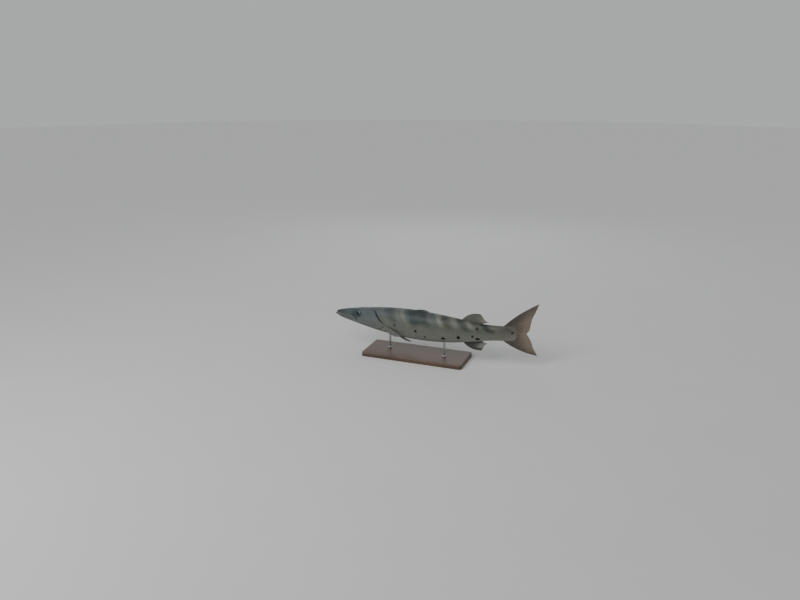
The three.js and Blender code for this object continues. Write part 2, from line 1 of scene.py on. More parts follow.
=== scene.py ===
# %% [markdown]
# # A great barracuda on a display stand
#
# The solids of this fish are already packed. This lesson dresses them: one skin over the whole
# body, scales that lie over it, fins with fine rays, teeth, eyes and a stand. The solids load
# first, and everything is made in their frame, in metres, so nothing has to be fitted later.

# %% Load the solids
import functools
import math

import bmesh
import bpy
import numpy as np
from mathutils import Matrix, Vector


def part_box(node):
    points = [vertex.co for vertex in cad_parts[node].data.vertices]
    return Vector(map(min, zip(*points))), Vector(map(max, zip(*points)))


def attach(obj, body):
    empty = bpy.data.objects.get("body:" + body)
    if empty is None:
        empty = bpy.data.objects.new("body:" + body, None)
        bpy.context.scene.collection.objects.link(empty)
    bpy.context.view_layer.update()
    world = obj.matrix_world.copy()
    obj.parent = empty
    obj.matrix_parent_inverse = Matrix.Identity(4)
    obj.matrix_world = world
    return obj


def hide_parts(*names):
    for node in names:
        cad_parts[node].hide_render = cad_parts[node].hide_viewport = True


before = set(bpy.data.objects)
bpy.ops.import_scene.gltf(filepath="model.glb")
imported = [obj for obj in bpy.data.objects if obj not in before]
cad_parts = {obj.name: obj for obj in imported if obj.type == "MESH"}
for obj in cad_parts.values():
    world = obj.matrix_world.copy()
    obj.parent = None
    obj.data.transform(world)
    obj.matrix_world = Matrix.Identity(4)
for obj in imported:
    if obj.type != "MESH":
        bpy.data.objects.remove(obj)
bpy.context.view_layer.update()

# %% [markdown]
# ## The fish as a few numbers
#
# A fish is easy to measure straight and hard to measure bent. So it is described straight, in
# millimetres: along (0 at the snout), side (left is minus) and up. Each row below is one station
# of the body, in percent of the body's length: place, top, bottom, half width, and how full the
# section is above and below. These are the same numbers that the solids are made from.

# %% Sizes
BODY_LENGTH = 785.0  # snout to the root of the tail fin
PERCENT = BODY_LENGTH / 100
MIDDLE_RISE = 0.06  # the widest level lies this share of the depth above the middle
THINNEST = 0.2
BODY_FORM = np.array([
    [0, 0.42, -2.1, 1.0, 2.4, 2.2], [2, 1.05, -3.05, 1.6, 2.4, 2.2],
    [5, 1.85, -3.75, 2.15, 2.4, 2.1], [10, 2.9, -4.65, 2.8, 2.5, 2.1],
    [15, 3.9, -5.5, 3.4, 2.6, 2.1], [20, 4.8, -6.25, 4.0, 2.5, 2.1],
    [25, 5.6, -6.9, 4.6, 2.4, 2.1], [30, 6.3, -7.45, 5.0, 2.3, 2.1],
    [37, 7.05, -8.05, 5.4, 2.2, 2.15], [45, 7.5, -8.45, 5.6, 2.2, 2.2],
    [55, 7.4, -8.45, 5.4, 2.2, 2.2], [65, 6.8, -7.9, 4.8, 2.2, 2.2],
    [73, 6.0, -7.0, 4.1, 2.2, 2.2], [80, 5.1, -5.9, 3.35, 2.2, 2.2],
    [85, 4.5, -5.1, 2.8, 2.2, 2.2], [90, 4.1, -4.45, 2.3, 2.2, 2.2],
    [95, 3.95, -4.15, 1.75, 2.2, 2.2], [98.5, 4.0, -4.2, 1.1, 2.2, 2.2],
    [101, 3.7, -3.9, 0.5, 2.2, 2.2],
])


def form_value(s, column):
    """One column of the table at any place along the body, smooth between the stations."""
    at, value = BODY_FORM[:, 0], BODY_FORM[:, column]
    x = np.clip(np.asarray(s, float) / PERCENT, at[0], at[-1])
    slope = np.gradient(value, at)
    i = np.clip(np.searchsorted(at, x, side="right") - 1, 0, len(at) - 2)
    h = at[i + 1] - at[i]
    t = (x - at[i]) / h
    return (
        (2 * t**3 - 3 * t**2 + 1) * value[i] + (t**3 - 2 * t**2 + t) * h * slope[i]
        + (3 * t**2 - 2 * t**3) * value[i + 1] + (t**3 - t**2) * h * slope[i + 1]
    )


def vectors(*columns):
    """One vector a point, from columns of numbers or single numbers."""
    return np.stack(np.broadcast_arrays(*columns), -1)


def section(s):
    """Top, bottom, half width, fullness above and below, and the middle height, in mm."""
    top, bottom, width = (form_value(s, column) * PERCENT for column in (1, 2, 3))
    middle = (top + bottom) / 2 + MIDDLE_RISE * (top - bottom)
    return top, bottom, np.maximum(width, THINNEST), form_value(s, 4), form_value(s, 5), middle


def form_point(s, angle):
    """Side and height on the section at s. Angle pi/2 is the back, -pi/2 the belly."""
    top, bottom, width, above, below, middle = section(s)
    c, d = np.cos(angle), np.sin(angle)
    power = np.where(d > 0, 2 / above, 2 / below)
    reach = np.where(d > 0, top - middle, middle - bottom)
    return width * np.sign(c) * np.abs(c) ** power, middle + reach * np.sign(d) * np.abs(d) ** power


def up_the_side(s, z):
    """Half width, fullness at height z, and z from -1 at the belly over 0 to 1 at the back."""
    top, bottom, width, above, below, middle = section(s)
    share = (z - middle) / np.where(z > middle, top - middle, middle - bottom)
    return width, np.where(share > 0, above, below), share


def height_share(s, z):
    return up_the_side(s, z)[2]


def angle_at(s, z):
    """The angle, on the right side, where the section at s has height z."""
    _, power, share = up_the_side(s, z)
    return np.sign(share) * np.arcsin(np.minimum(np.abs(share), 1) ** (power / 2))


def side_at(s, z):
    """Half width of the body at height z."""
    width, power, share = up_the_side(s, z)
    return width * (1 - np.minimum(np.abs(share), 1) ** power) ** (1 / power)


print("deepest:", round(float(np.ptp(BODY_FORM[9, 1:3]) * PERCENT), 1), "mm")

# %% [markdown]
# ## The pose
#
# In the photo the head turns a little away and the tail swings back. The body's axis is drawn
# as a curve whose direction changes more and more toward the tail, and every straight point is
# carried to its place beside that curve. One function does it for the skin, scales and fins.

# %% Bend the straight fish
HEAD_TURN, BODY_BEND = 7.3, 22.3  # degrees
BEND_START, BEND_POWER = 0.28, 1.9
AXIS_HEIGHT = 145.0  # above the floor
ROD_AT = np.array([0.335, 0.655])  # the stand's rods, along the body

axis_s = np.linspace(-40, 1020, 2401)
behind_start = np.clip((axis_s / BODY_LENGTH - BEND_START) / (1 - BEND_START), 0, None)
axis_turn = np.radians(HEAD_TURN - BODY_BEND * behind_start**BEND_POWER)
axis_step = axis_s[1] - axis_s[0]
axis_x = np.concatenate([[0], np.cumsum(np.cos(axis_turn[1:]) * axis_step)])
axis_y = np.concatenate([[0], -np.cumsum(np.sin(axis_turn[1:]) * axis_step)])
middle_x, middle_y = (np.interp(ROD_AT * BODY_LENGTH, axis_s, axis).mean() for axis in (axis_x, axis_y))


def posed(points):
    """Straight millimetres to metres in the object's frame."""
    s, y, z = np.asarray(points, float).T
    turn = np.interp(s, axis_s, axis_turn)
    x = np.interp(s, axis_s, axis_x) + y * np.sin(turn) - middle_x
    across = np.interp(s, axis_s, axis_y) + y * np.cos(turn) - middle_y
    return vectors(x, across, z + AXIS_HEIGHT) / 1000


snout, body_middle, tail_root = posed([[0, 0, -2], [BODY_LENGTH / 2, 0, 0], [BODY_LENGTH, 0, 0]])
print("snout at", snout.round(4), "tail root at", tail_root.round(4))

# %% [markdown]
# ## Camera, light and floor
#
# The camera comes first, because every later choice is judged through it. The photo looks at the
# fish's left side from a little ahead and above. The snout falls on a known place of the picture,
# and the lens and distance came from the length and the height of the body in it.

# %% Camera
PICTURE = (800, 600)
CAMERA_TURN, CAMERA_DOWN = math.radians(21), math.radians(17.5)
FOCUS_PX = 752.0  # focal length in pixels of the picture
BODY_DEPTH = 3.1509  # metres, from the lens plane to the middle of the body
SNOUT_PX = (338.2, 310.7)
SENSOR = 36

level = math.cos(CAMERA_DOWN)
ahead = Vector((-math.sin(CAMERA_TURN) * level, math.cos(CAMERA_TURN) * level, -math.sin(CAMERA_DOWN)))
right = ahead.cross(Vector((0, 0, 1))).normalized()
up = right.cross(ahead)
across, down = ((SNOUT_PX[k] - PICTURE[k] / 2) / FOCUS_PX for k in (0, 1))
ray = ahead + right * across - up * down
distance = BODY_DEPTH - Vector(body_middle - snout).dot(ahead)

bpy.ops.object.select_all(action="DESELECT")
bpy.ops.object.camera_add(location=Vector(snout) - ray * distance)
camera = bpy.context.object
camera.name = "camera"
camera.rotation_mode = "QUATERNION"
camera.rotation_quaternion = ahead.to_track_quat("-Z", "Y")
camera.data.sensor_width = SENSOR
camera.data.lens = SENSOR * FOCUS_PX / PICTURE[0]
bpy.context.scene.camera = camera
print("camera at", [round(v, 3) for v in camera.location], "lens", round(camera.data.lens, 2))

# %% [markdown]
# Small helpers come next: one turns a hex colour to the linear values that Blender wants, one
# adds a node with its settings and links, one starts a material, one lays a colour over another,
# and the rest make a mesh, set it down in its pose and finish it.

# %% Helpers for colours, nodes and meshes
def linear(hex_colour):
    """An sRGB hex colour as linear RGBA."""
    parts = [int(hex_colour[i : i + 2], 16) / 255 for i in (1, 3, 5)]
    return (*[p / 12.92 if p <= 0.04045 else ((p + 0.055) / 1.055) ** 2.4 for p in parts], 1.0)


NODE_MODE = {"Math": "operation", "Mix": "blend_type", "MapRange": "interpolation_type"}


def add_node(tree, kind, *values, out=None, **settings):
    """Adds a node with its settings and links, and returns its first output or the one named.

    values go to the node's inputs in order: a number, a colour or another node's output. A word
    after the dot in kind is the node's mode, as in Math.MULTIPLY. A setting with a capital is an
    input by its name, and any other is a property of the node.
    """
    kind, _, mode = kind.partition(".")
    made = tree.nodes.new("ShaderNode" + kind)
    if mode:
        setattr(made, NODE_MODE[kind], mode)
    for key in [key for key in settings if key[0].islower()]:
        setattr(made, key, settings.pop(key))
    pairs = list(zip([socket for socket in made.inputs if socket.enabled], values))
    pairs += [(made.inputs[key.replace("_", " ")], value) for key, value in settings.items()]
    for socket, value in pairs:
        if isinstance(value, bpy.types.NodeSocket):
            tree.links.new(value, socket)
        else:
            socket.default_value = value
    shown = [socket for socket in made.outputs if socket.enabled]
    return made.outputs[out] if out else (shown or [None])[0]


def start_material(name, **sockets):
    """A material with one Principled shader. Returns it, its add_node and its shader's sockets."""
    material = bpy.data.materials.new(name)
    material.use_nodes = True
    tree = material.node_tree
    tree.nodes.clear()
    surface = add_node(tree, "BsdfPrincipled", **sockets)
    add_node(tree, "OutputMaterial", surface)
    return material, functools.partial(add_node, tree), surface.node.inputs


def plug(output, socket):
    """Links an output to a shader's socket."""
    socket.id_data.links.new(output, socket)


def layered(add, colour, *layers, mode="MIX"):
    """A colour with others laid over it, each as (shade, amount, amount and so on).

    A shade is a hex colour or an output. It reaches where all its amounts do, and an amount is a
    number, an output, or a tuple of an output and the values that it eases between.
    """
    colour = linear(colour) if isinstance(colour, str) else colour
    for shade, *amounts in layers:
        amounts = [add("MapRange.SMOOTHSTEP", *one) if isinstance(one, tuple) else one for one in amounts]
        reach = functools.reduce(functools.partial(add, "Math.MULTIPLY"), amounts)
        shade = linear(shade) if isinstance(shade, str) else shade
        colour = add(f"Mix.{mode}", reach, colour, shade, data_type="RGBA")
    return colour


def unit(v):
    return v / np.linalg.norm(v)


def weld(points, faces):
    """Joins points that share a place, and drops faces that have no area left."""
    _, first, where = np.unique(np.round(points, 4), axis=0, return_index=True, return_inverse=True)
    where = where.reshape(-1)
    clean = []
    for face in faces:
        ring = [int(where[k]) for k in face]
        ring = [k for n, k in enumerate(ring) if k != ring[n - 1]]
        if len(set(ring)) == len(ring) and len(ring) > 2:
            clean.append(ring)
    return points[first], clean, where


def grid_faces(rows, columns, start=0):
    """Quads of a grid of points that are numbered row by row."""
    i, j = np.meshgrid(np.arange(rows - 1), np.arange(columns - 1), indexing="ij")
    a = (start + i * columns + j).reshape(-1)
    return vectors(a, a + 1, a + columns + 1, a + columns)


def rim_of(rows, columns):
    """The points round the edge of such a grid."""
    last = (rows - 1) * columns
    rim = [*range(columns), *range(2 * columns - 1, last + columns, columns)]
    return rim + [*range(last + columns - 2, last - 1, -1), *range(last - columns, 0, -columns)]


def copied_faces(faces, copies, size):
    """The faces of a shape of so many points, for each of its copies."""
    return [[v + i * size for v in face] for i in range(copies) for face in faces]


def make_mesh(name, points, faces, turn_out=True):
    """A mesh object at the origin from straight points, still in millimetres."""
    mesh = bpy.data.meshes.new(name)
    mesh.from_pydata(points, [], faces)
    if turn_out:
        work = bmesh.new()
        work.from_mesh(mesh)
        bmesh.ops.recalc_face_normals(work, faces=work.faces)
        work.to_mesh(mesh)
        work.free()
    made = bpy.data.objects.new(name, mesh)
    bpy.context.scene.collection.objects.link(made)
    return made


def set_down(made, points, **marks):
    """Poses the straight points, and keeps vectors on them for the material to read."""
    made.data.vertices.foreach_set("co", posed(points).astype(np.float32).reshape(-1))
    made.data.update()
    for name, values in marks.items():
        layer = made.data.attributes.new(name, "FLOAT_VECTOR", "POINT")
        layer.data.foreach_set("vector", np.asarray(values, np.float32).reshape(-1))
    return made


def finish_piece(made, material, nodes=(), sharp=None):
    """Smooth shading, material, slot, body and the nodes that the piece stands for."""
    made.data.materials.clear()
    made.data.materials.append(material)
    bpy.ops.object.select_all(action="DESELECT")
    made.select_set(True)
    bpy.context.view_layer.objects.active = made
    if sharp is None:
        bpy.ops.object.shade_smooth()
    else:
        bpy.ops.object.shade_smooth_by_angle(angle=math.radians(sharp))
    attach(made, "root")
    if nodes:
        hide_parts(*nodes)
    print(f"{made.name}: {len(made.data.polygons)} faces")


def smooth(x, low, high):
    """Eases from 0 to 1."""
    t = np.clip((np.asarray(x, float) - low) / (high - low), 0, 1)
    return t * t * (3 - 2 * t)


def window(x, low, full, less, end):
    """Eases from 0 to 1 and back."""
    return smooth(x, low, full) * (1 - smooth(x, less, end))


def bump(x, middle, wide):
    """A soft hill, 1 high."""
    return np.exp(-(((np.asarray(x, float) - middle) / wide) ** 2))


# The left side of the fish lies toward minus y
SIDES = ((-1, "left"), (1, "right"))

# %% [markdown]
# The floor is a wide pale sheet and the light is plain and soft: a wide sun that lights the floor
# alike everywhere, a broad lamp above, a weak one behind, and an even sky. Wet skin shows its
# form by the broad highlights of the lamps.

# %% Floor and light
bpy.ops.object.select_all(action="DESELECT")
bpy.ops.mesh.primitive_circle_add(vertices=96, radius=14, fill_type="NGON", location=(0, 0, 0))
floor = bpy.context.object
floor.name = "floor"
floor_paint, add, sockets = start_material("matt_floor_paint", Roughness=0.9)
clouds = add("TexNoise", Vector=add("TexCoord", out="Object"), Scale=3.0, Detail=4.0)
plug(layered(add, "#bdbfbd", ("#c2c4c2", clouds)), sockets["Base Color"])
floor.data.materials.append(floor_paint)


def lamp(name, place, aim, size, watts, colour):
    """A square soft lamp that faces a point."""
    bpy.ops.object.light_add(type="AREA", location=place)
    made = bpy.context.object
    made.name = name
    made.rotation_mode = "QUATERNION"
    made.rotation_quaternion = (Vector(aim) - Vector(place)).to_track_quat("-Z", "Y")
    made.data.size, made.data.energy, made.data.color = size, watts, colour


lamp("lamp_front", (-1.3, -2.3, 1.7), (0, 0, 0.1), 1.1, 30, (1.0, 0.99, 0.97))
lamp("lamp_behind", (-0.6, 2.4, 1.6), (0, 0, 0.15), 1.6, 8, (0.97, 0.98, 1.0))
bpy.ops.object.light_add(type="SUN", location=(0, 0, 4), rotation=(math.radians(44), math.radians(-14), 0))
sun = bpy.context.object
sun.name = "soft_sun"
sun.data.energy, sun.data.angle = 1.5, math.radians(50)
world = bpy.data.worlds.new("soft_sky")
world.use_nodes = True
sky = world.node_tree.nodes["Background"].inputs
sky["Color"].default_value, sky["Strength"].default_value = linear("#e3e5e5"), 0.62
bpy.context.scene.world = world

# %% [markdown]
# ## The skin
#
# The head, jaws, gill covers and body are one skin on the real fish, so here too they are one
# mesh with no seam. It is a grid: rings along the body, and points round each ring. A grid is
# chosen over sculpting because the mouth, the gills, the scales and the markings all have a
# known place on it. The mouth is a slit: above it the grid belongs to the snout, below it to the
# jaw, and a lining folds in from one lip, over the palate, to the other.

# %% Mouth line
MOUTH_LENGTH, MOUTH_FRONT_Z, MOUTH_DROP, MOUTH_OPENING, LIP_GAP = 100.0, -3.0, 10.0, 4.4, 0.35
SNOUT_ROUND, CHIN_AHEAD = 3.0, 11.0
SNOUT_TIP_Z, CHIN_TIP_Z = -0.2, -10.0


def mouth_top(s):
    """Height of the upper lip's edge."""
    return MOUTH_FRONT_Z - MOUTH_DROP * (np.maximum(s, 0) / MOUTH_LENGTH) ** 1.15


def mouth_gap(s):
    """How wide the mouth stands open."""
    share = 1 - np.clip(s, 0, MOUTH_LENGTH) / MOUTH_LENGTH
    return MOUTH_OPENING * share + LIP_GAP * np.minimum(share * 12, 1)


# %% Rings and points
CELLS_ABOVE, CELLS_BELOW, CELLS_LINING = 44, 36, 16
EDGE_CLOSE = 1.3  # above 1 draws the points closer together toward the lips
TIP_STEPS = (1.0, 0.985, 0.94, 0.86, 0.74, 0.58, 0.4, 0.22, 0.08)
# Start, end and spacing of the rings, closest where the face and the gills need it
RING_PARTS = (
    (0, 84, 1.0), (84, 140, 0.8), (140, 222, 1.3), (222, 246, 0.65), (246, 262, 1.3), (262, 812, 2.7),
    (812.5, 813, 1),
)
ring_s = np.concatenate([np.arange(*part) for part in RING_PARTS])
ring_s[np.argmin(np.abs(ring_s - MOUTH_LENGTH))] = MOUTH_LENGTH
STALK_END, STALK_BULGE, STALK_FROM, STALK_HALF = 103.6 * PERCENT, 15.0, 735.0, 34
WEDGE, WEDGE_PLACE = 1.75, (745, 806)  # half the flesh's thickness at its rear edge, and where it thins


def stalk_edge(z):
    """Where the flesh ends over the tail's rays, rounded in side view."""
    from_middle = np.minimum(np.abs(z) / STALK_HALF, 1)
    return STALK_END - STALK_BULGE * (from_middle**2 + 0.9 * from_middle**8)


# Height and place along the body of the gill cover's rear edge, in mm
COVER_REAR = ((-22.8, -14.9, -3.9, 9.4, 24.3, 34.5), (252.8, 250.4, 235.5, 222.9, 211.2, 201.0))
COVER_MIDDLE = 232.0


def along_slit(s, z):
    """Rings near the gill slit lean with it, so that its edges come out even."""
    return s + window(s, 150, COVER_MIDDLE, COVER_MIDDLE, 330) * (np.interp(z, *COVER_REAR) - COVER_MIDDLE)


def thinned(s, y):
    """The flesh thins to a wedge over the roots of the tail's rays."""
    return y * (1 - smooth(s, *WEDGE_PLACE) * np.maximum(1 - WEDGE / section(s)[2], 0))


def ring_angles(start, edge, cells):
    """Angles from the left edge, over the back or belly, to the right edge."""
    half = start + (edge - start) * (1 - (1 - np.linspace(0, 1, cells + 1)) ** EDGE_CLOSE)
    return np.concatenate([(math.pi * np.sign(start) - half)[::-1], half[1:]])


def shell_half(upper):
    """Grid of the skin above or below the mouth line, from its tip to the tail."""
    start, cells = (math.pi / 2, CELLS_ABOVE) if upper else (-math.pi / 2, CELLS_BELOW)
    length, centre = (SNOUT_ROUND, SNOUT_TIP_Z) if upper else (CHIN_AHEAD, CHIN_TIP_Z)
    edge_z = MOUTH_FRONT_Z if upper else MOUTH_FRONT_Z - mouth_gap(0)
    rows = []
    for t in TIP_STEPS:
        scale = max(math.sqrt(1 - t), 1e-4)
        edge = angle_at(0.0, centre + (edge_z - centre) / scale)
        y, z = form_point(0.0, ring_angles(start, float(edge), cells))
        scale = scale if t < 1 else 0  # the tip is one point
        rows.append(vectors(-length * t, y * scale, centre + (z - centre) * scale))
    for s in ring_s:
        lip_s = min(s, MOUTH_LENGTH)
        edge = angle_at(lip_s, mouth_top(lip_s) - (0 if upper else mouth_gap(s)))
        angles = ring_angles(start, float(edge), cells)
        z = form_point(s, angles)[1]
        along = along_slit(s, z)
        if s > STALK_FROM:
            along = STALK_FROM + (stalk_edge(z) - STALK_FROM) * (s - STALK_FROM) / (ring_s[-1] - STALK_FROM)
        rows.append(vectors(along, *form_point(along, angles)))
    return np.stack(rows)


above, below = shell_half(True), shell_half(False)
print("rings:", len(above), "points round:", above.shape[1] + below.shape[1])

# %% [markdown]
# At the tail the two sides close on each other. The last ring is drawn in to the middle plane,
# where the tail fin's rays come out of the flesh.

# %% Close the tail and line the mouth
TAIL_CLOSE = ((0.5, 0.72), (0.9, 0.4), (1.1, 0.0))  # mm beyond the last ring, and its width there


def close_tail(grid):
    rings = [grid[-1] * (1, narrow, 1) + (beyond, 0, 0) for beyond, narrow in TAIL_CLOSE]
    return np.concatenate([grid, rings])


def lining(grid, upper):
    """The palate or the floor of the mouth, from the left lip to the right one."""
    last = len(TIP_STEPS) + int(np.argmin(np.abs(ring_s - MOUTH_LENGTH)))
    turn = np.pi * np.linspace(0, 1, CELLS_LINING + 1)
    rows = []
    for ring in grid[: last + 1]:
        s, half, z = ring[-1]
        room, ahead_by = abs(ring[len(ring) // 2][2] - z), MOUTH_LENGTH - s
        taper = np.clip(ahead_by / 12, 0, 1) * np.clip(half / 6, 0, 1)
        deep = min(4.6, 0.42 * room) * np.clip(ahead_by / 30, 0, 1) ** 0.6 * np.clip(half / 5, 0, 1)
        rise = (1 if upper else -1) * deep * np.sin(turn) ** 0.55
        row = vectors(s, -(half - 1.7 * taper) * np.cos(turn), z + rise)
        row[0], row[-1] = ring[0], ring[-1]
        rows.append(row)
    return np.stack(rows)


above, below = close_tail(above), close_tail(below)
sheets = [above, below, lining(above, True), lining(below, False)]
starts = np.cumsum([0] + [sheet.size // 3 for sheet in sheets])
skin_points = np.concatenate([sheet.reshape(-1, 3) for sheet in sheets])
skin_faces = np.concatenate([grid_faces(*sheet.shape[:2], start) for sheet, start in zip(sheets, starts)])
skin_points, skin_faces, where = weld(skin_points, skin_faces.tolist())
outside = np.zeros(len(skin_points), bool)
outside[where[: starts[2]]] = True
skin = make_mesh("skin", skin_points, skin_faces)
edges = np.sort([edge for face in skin_faces for edge in zip(face, face[1:] + face[:1])], axis=1)
open_edges = int((np.unique(edges, axis=0, return_counts=True)[1] != 2).sum())
print("skin:", len(skin_points), "points, edges without two faces:", open_edges)

# %% [markdown]
# ## Relief of the head
#
# The plain grid now gets its anatomy: lips that roll in, the plate of the upper jaw, a rim round
# the eye, two nostrils a side, ridges on the snout, the cheek's edge, and gill covers that stand
# over a slit. Each is a small hill or groove with its own place and size in millimetres, added
# along the skin's own normal. The body behind the head sinks a little, to leave room for scales.

# %% Gill cover outline and cheek edge
COVER_OUTLINE = np.array([
    [20.2, 3.2], [23, 4.3], [25.6, 4.4], [26.9, 3.1], [28.4, 1.2], [30.0, -0.5], [31.9, -1.9],
    [32.2, -2.9], [30.6, -4.3], [27.5, -5.4], [23.5, -5.6], [20.0, -4.6], [18.6, -2.8], [19.2, 0.2],
]) * PERCENT
CHEEK_EDGE = np.array([
    [18.0, 3.3], [18.8, 1.6], [19.1, -0.4], [18.9, -2.4], [17.9, -4.0], [15.8, -4.9], [12.8, -4.9],
]) * PERCENT


def spline(p0, p1, p2, p3, t):
    """A smooth way from p1 to p2, between their neighbours."""
    bend, twist = 2 * p0 - 5 * p1 + 4 * p2 - p3, 3 * p1 - p0 - 3 * p2 + p3
    return 0.5 * (2 * p1 + (p2 - p0) * t + bend * t**2 + twist * t**3)


def rounded(line, closed, each=8):
    """A smooth line through a few places."""
    n = len(line)
    made = []
    for i in range(n if closed else n - 1):
        ends = [(i + k) % n if closed else min(max(i + k, 0), n - 1) for k in (-1, 0, 1, 2)]
        made += [spline(*line[ends], t) for t in np.linspace(0, 1, each, endpoint=False)]
    return np.array(made if closed else [*made, line[-1]])


def spans(line, closed=True):
    """Neighbours along a line, two by two."""
    return list(zip(line, np.roll(line, -1, axis=0)))[: None if closed else -1]


def distance_to(line, s, z, closed=True):
    """Distance of each place to a line."""
    best = np.full(np.shape(s), 1e9)
    for a, b in spans(line, closed):
        d = b - a
        t = np.clip(((s - a[0]) * d[0] + (z - a[1]) * d[1]) / (d @ d), 0, 1)
        best = np.minimum(best, np.hypot(s - a[0] - t * d[0], z - a[1] - t * d[1]))
    return best


def inside_of(line, s, z):
    """True where a place lies in a closed outline."""
    hit = np.zeros(np.shape(s), bool)
    for a, b in spans(line):
        if a[1] != b[1]:
            at = a[0] + (z - a[1]) * (b[0] - a[0]) / (b[1] - a[1])
            hit ^= ((a[1] > z) != (b[1] > z)) & (s < at)
    return hit


# The upper jaw's plate, in mm: it widens below the eye and hides the corner of the mouth
JAW_PLATE = np.array([
    [40, -3.4], [58, -2.6], [75, -1.9], [88, -1.4], [98, -4.2], [105, -9], [109.5, -14.5],
    [108.5, -18.6], [103.5, -19.2], [98.5, -17], [92, -15], [75, -13], [58, -10.5], [40, -8],
], float)
plate_line = rounded(JAW_PLATE, True)
cover_line = rounded(COVER_OUTLINE, True)
cheek_line = rounded(CHEEK_EDGE, False)
print("gill cover runs from", cover_line[:, 0].min().round(), "to", cover_line[:, 0].max().round(), "mm")

# %% Eye place and axis
EYE_S, EYE_Z, EYE_RADIUS, EYE_DEPTH, EYE_OUT = 117.0, 13.4, 13.2, 5.4, 2.0
EYE_REACH = 6.0  # the eye faces as the head's side does, measured this far round it
lean_s, lean_z = (
    (side_at(EYE_S - ds, EYE_Z - dz) - side_at(EYE_S + ds, EYE_Z + dz)) / (2 * EYE_REACH)
    for ds, dz in ((EYE_REACH, 0), (0, EYE_REACH))
)
eye_axis = unit(np.array([lean_s, 1.0, lean_z]))
eye_on_skin = np.array([EYE_S, float(side_at(EYE_S, EYE_Z)), EYE_Z])
NOSTRILS = ((91.0, 17.0, 1.5), (97.0, 18.5, 2.0))
# Height of the skin over the plane that touches the head at the eye, by distance from its middle
EYE_RIM = ((0, 11.6, 12.6, 13.3, 14.2, 15.4, 17.0, 23.0), (-6.0, -5.4, -3.9, -2.5, -1.9, -2.3, -3.2, -5.0))
# The most that the skin may be raised, by its height, because the brow is close above the eye
EYE_RIM_TOP = ((20.0, 24.0, 28.0, 31.0), (9.0, 1.7, 1.0, 0.0))

# %% The relief itself
COAT_DEPTH = 0.8
# Fleshy bases of the breast and belly fins: along and height in percent, width and height in mm
FIN_BASES = ((33.2, -3.4, 8.0, 1.5), (41.2, -7.4, 6.0, 1.0))


def eye_relief(s, y, z, normal):
    """The socket and rim round the eye."""
    place = vectors(s, np.abs(y), z) - eye_on_skin
    high = place @ eye_axis
    from_middle = np.linalg.norm(place - high[:, None] * eye_axis, axis=1)
    near = (1 - smooth(from_middle, 14.4, 19)) * (1 - smooth(z, 27.5, 31.5)) * (np.abs(high) < 16)
    change = np.minimum(np.interp(from_middle, *EYE_RIM) - high, np.interp(z, *EYE_RIM_TOP))
    # Outside the rim the skin is only raised
    only_up = smooth(from_middle, 13.5, 14.6)
    change = change * (1 - only_up) + np.maximum(change, 0) * only_up
    return near * change / np.maximum(normal @ eye_axis, 0.5)


def lip_relief(s, z):
    """Lips that roll in, with a fold beside them and a crease behind the mouth's corner."""
    middle = mouth_top(s) - mouth_gap(s) / 2
    from_lip = np.where(z > middle, z - mouth_top(s), mouth_top(s) - mouth_gap(s) - z)
    from_lip = np.where(s < MOUTH_LENGTH, np.maximum(from_lip, 0), np.abs(z - mouth_top(s)))
    ends = np.clip((MOUTH_LENGTH + 2 - s) / 14, 0, 1)
    roll = 1.6 * ends
    drawn_in = roll - np.sqrt(np.maximum(roll**2 - (roll - from_lip) ** 2, 0))
    drawn_in = np.where((from_lip < roll) & (s < MOUTH_LENGTH + 2), drawn_in, 0)
    swell = 1.15 * bump(from_lip, 2.3, 1.9) * ends * np.clip((s + 12) / 10, 0.4, 1)
    fold = -0.75 * bump(from_lip, 6.0, 1.3) * smooth(s, 8, 30) * ends
    crease = -1.3 * bump(z - mouth_top(s), 0, 1.2) * bump(s, 103, 6) * (s > 92)
    return swell + fold + crease - drawn_in


def jaw_plate(s, z):
    """Distance to the plate's edge, whether a place is on it, and how far it shows there."""
    upper = (s >= MOUTH_LENGTH) | (z > mouth_top(s) - mouth_gap(s) / 2)
    shown = upper * smooth(s, 48, 76) * (s < 116)
    return distance_to(plate_line, s, z), inside_of(plate_line, s, z), shown


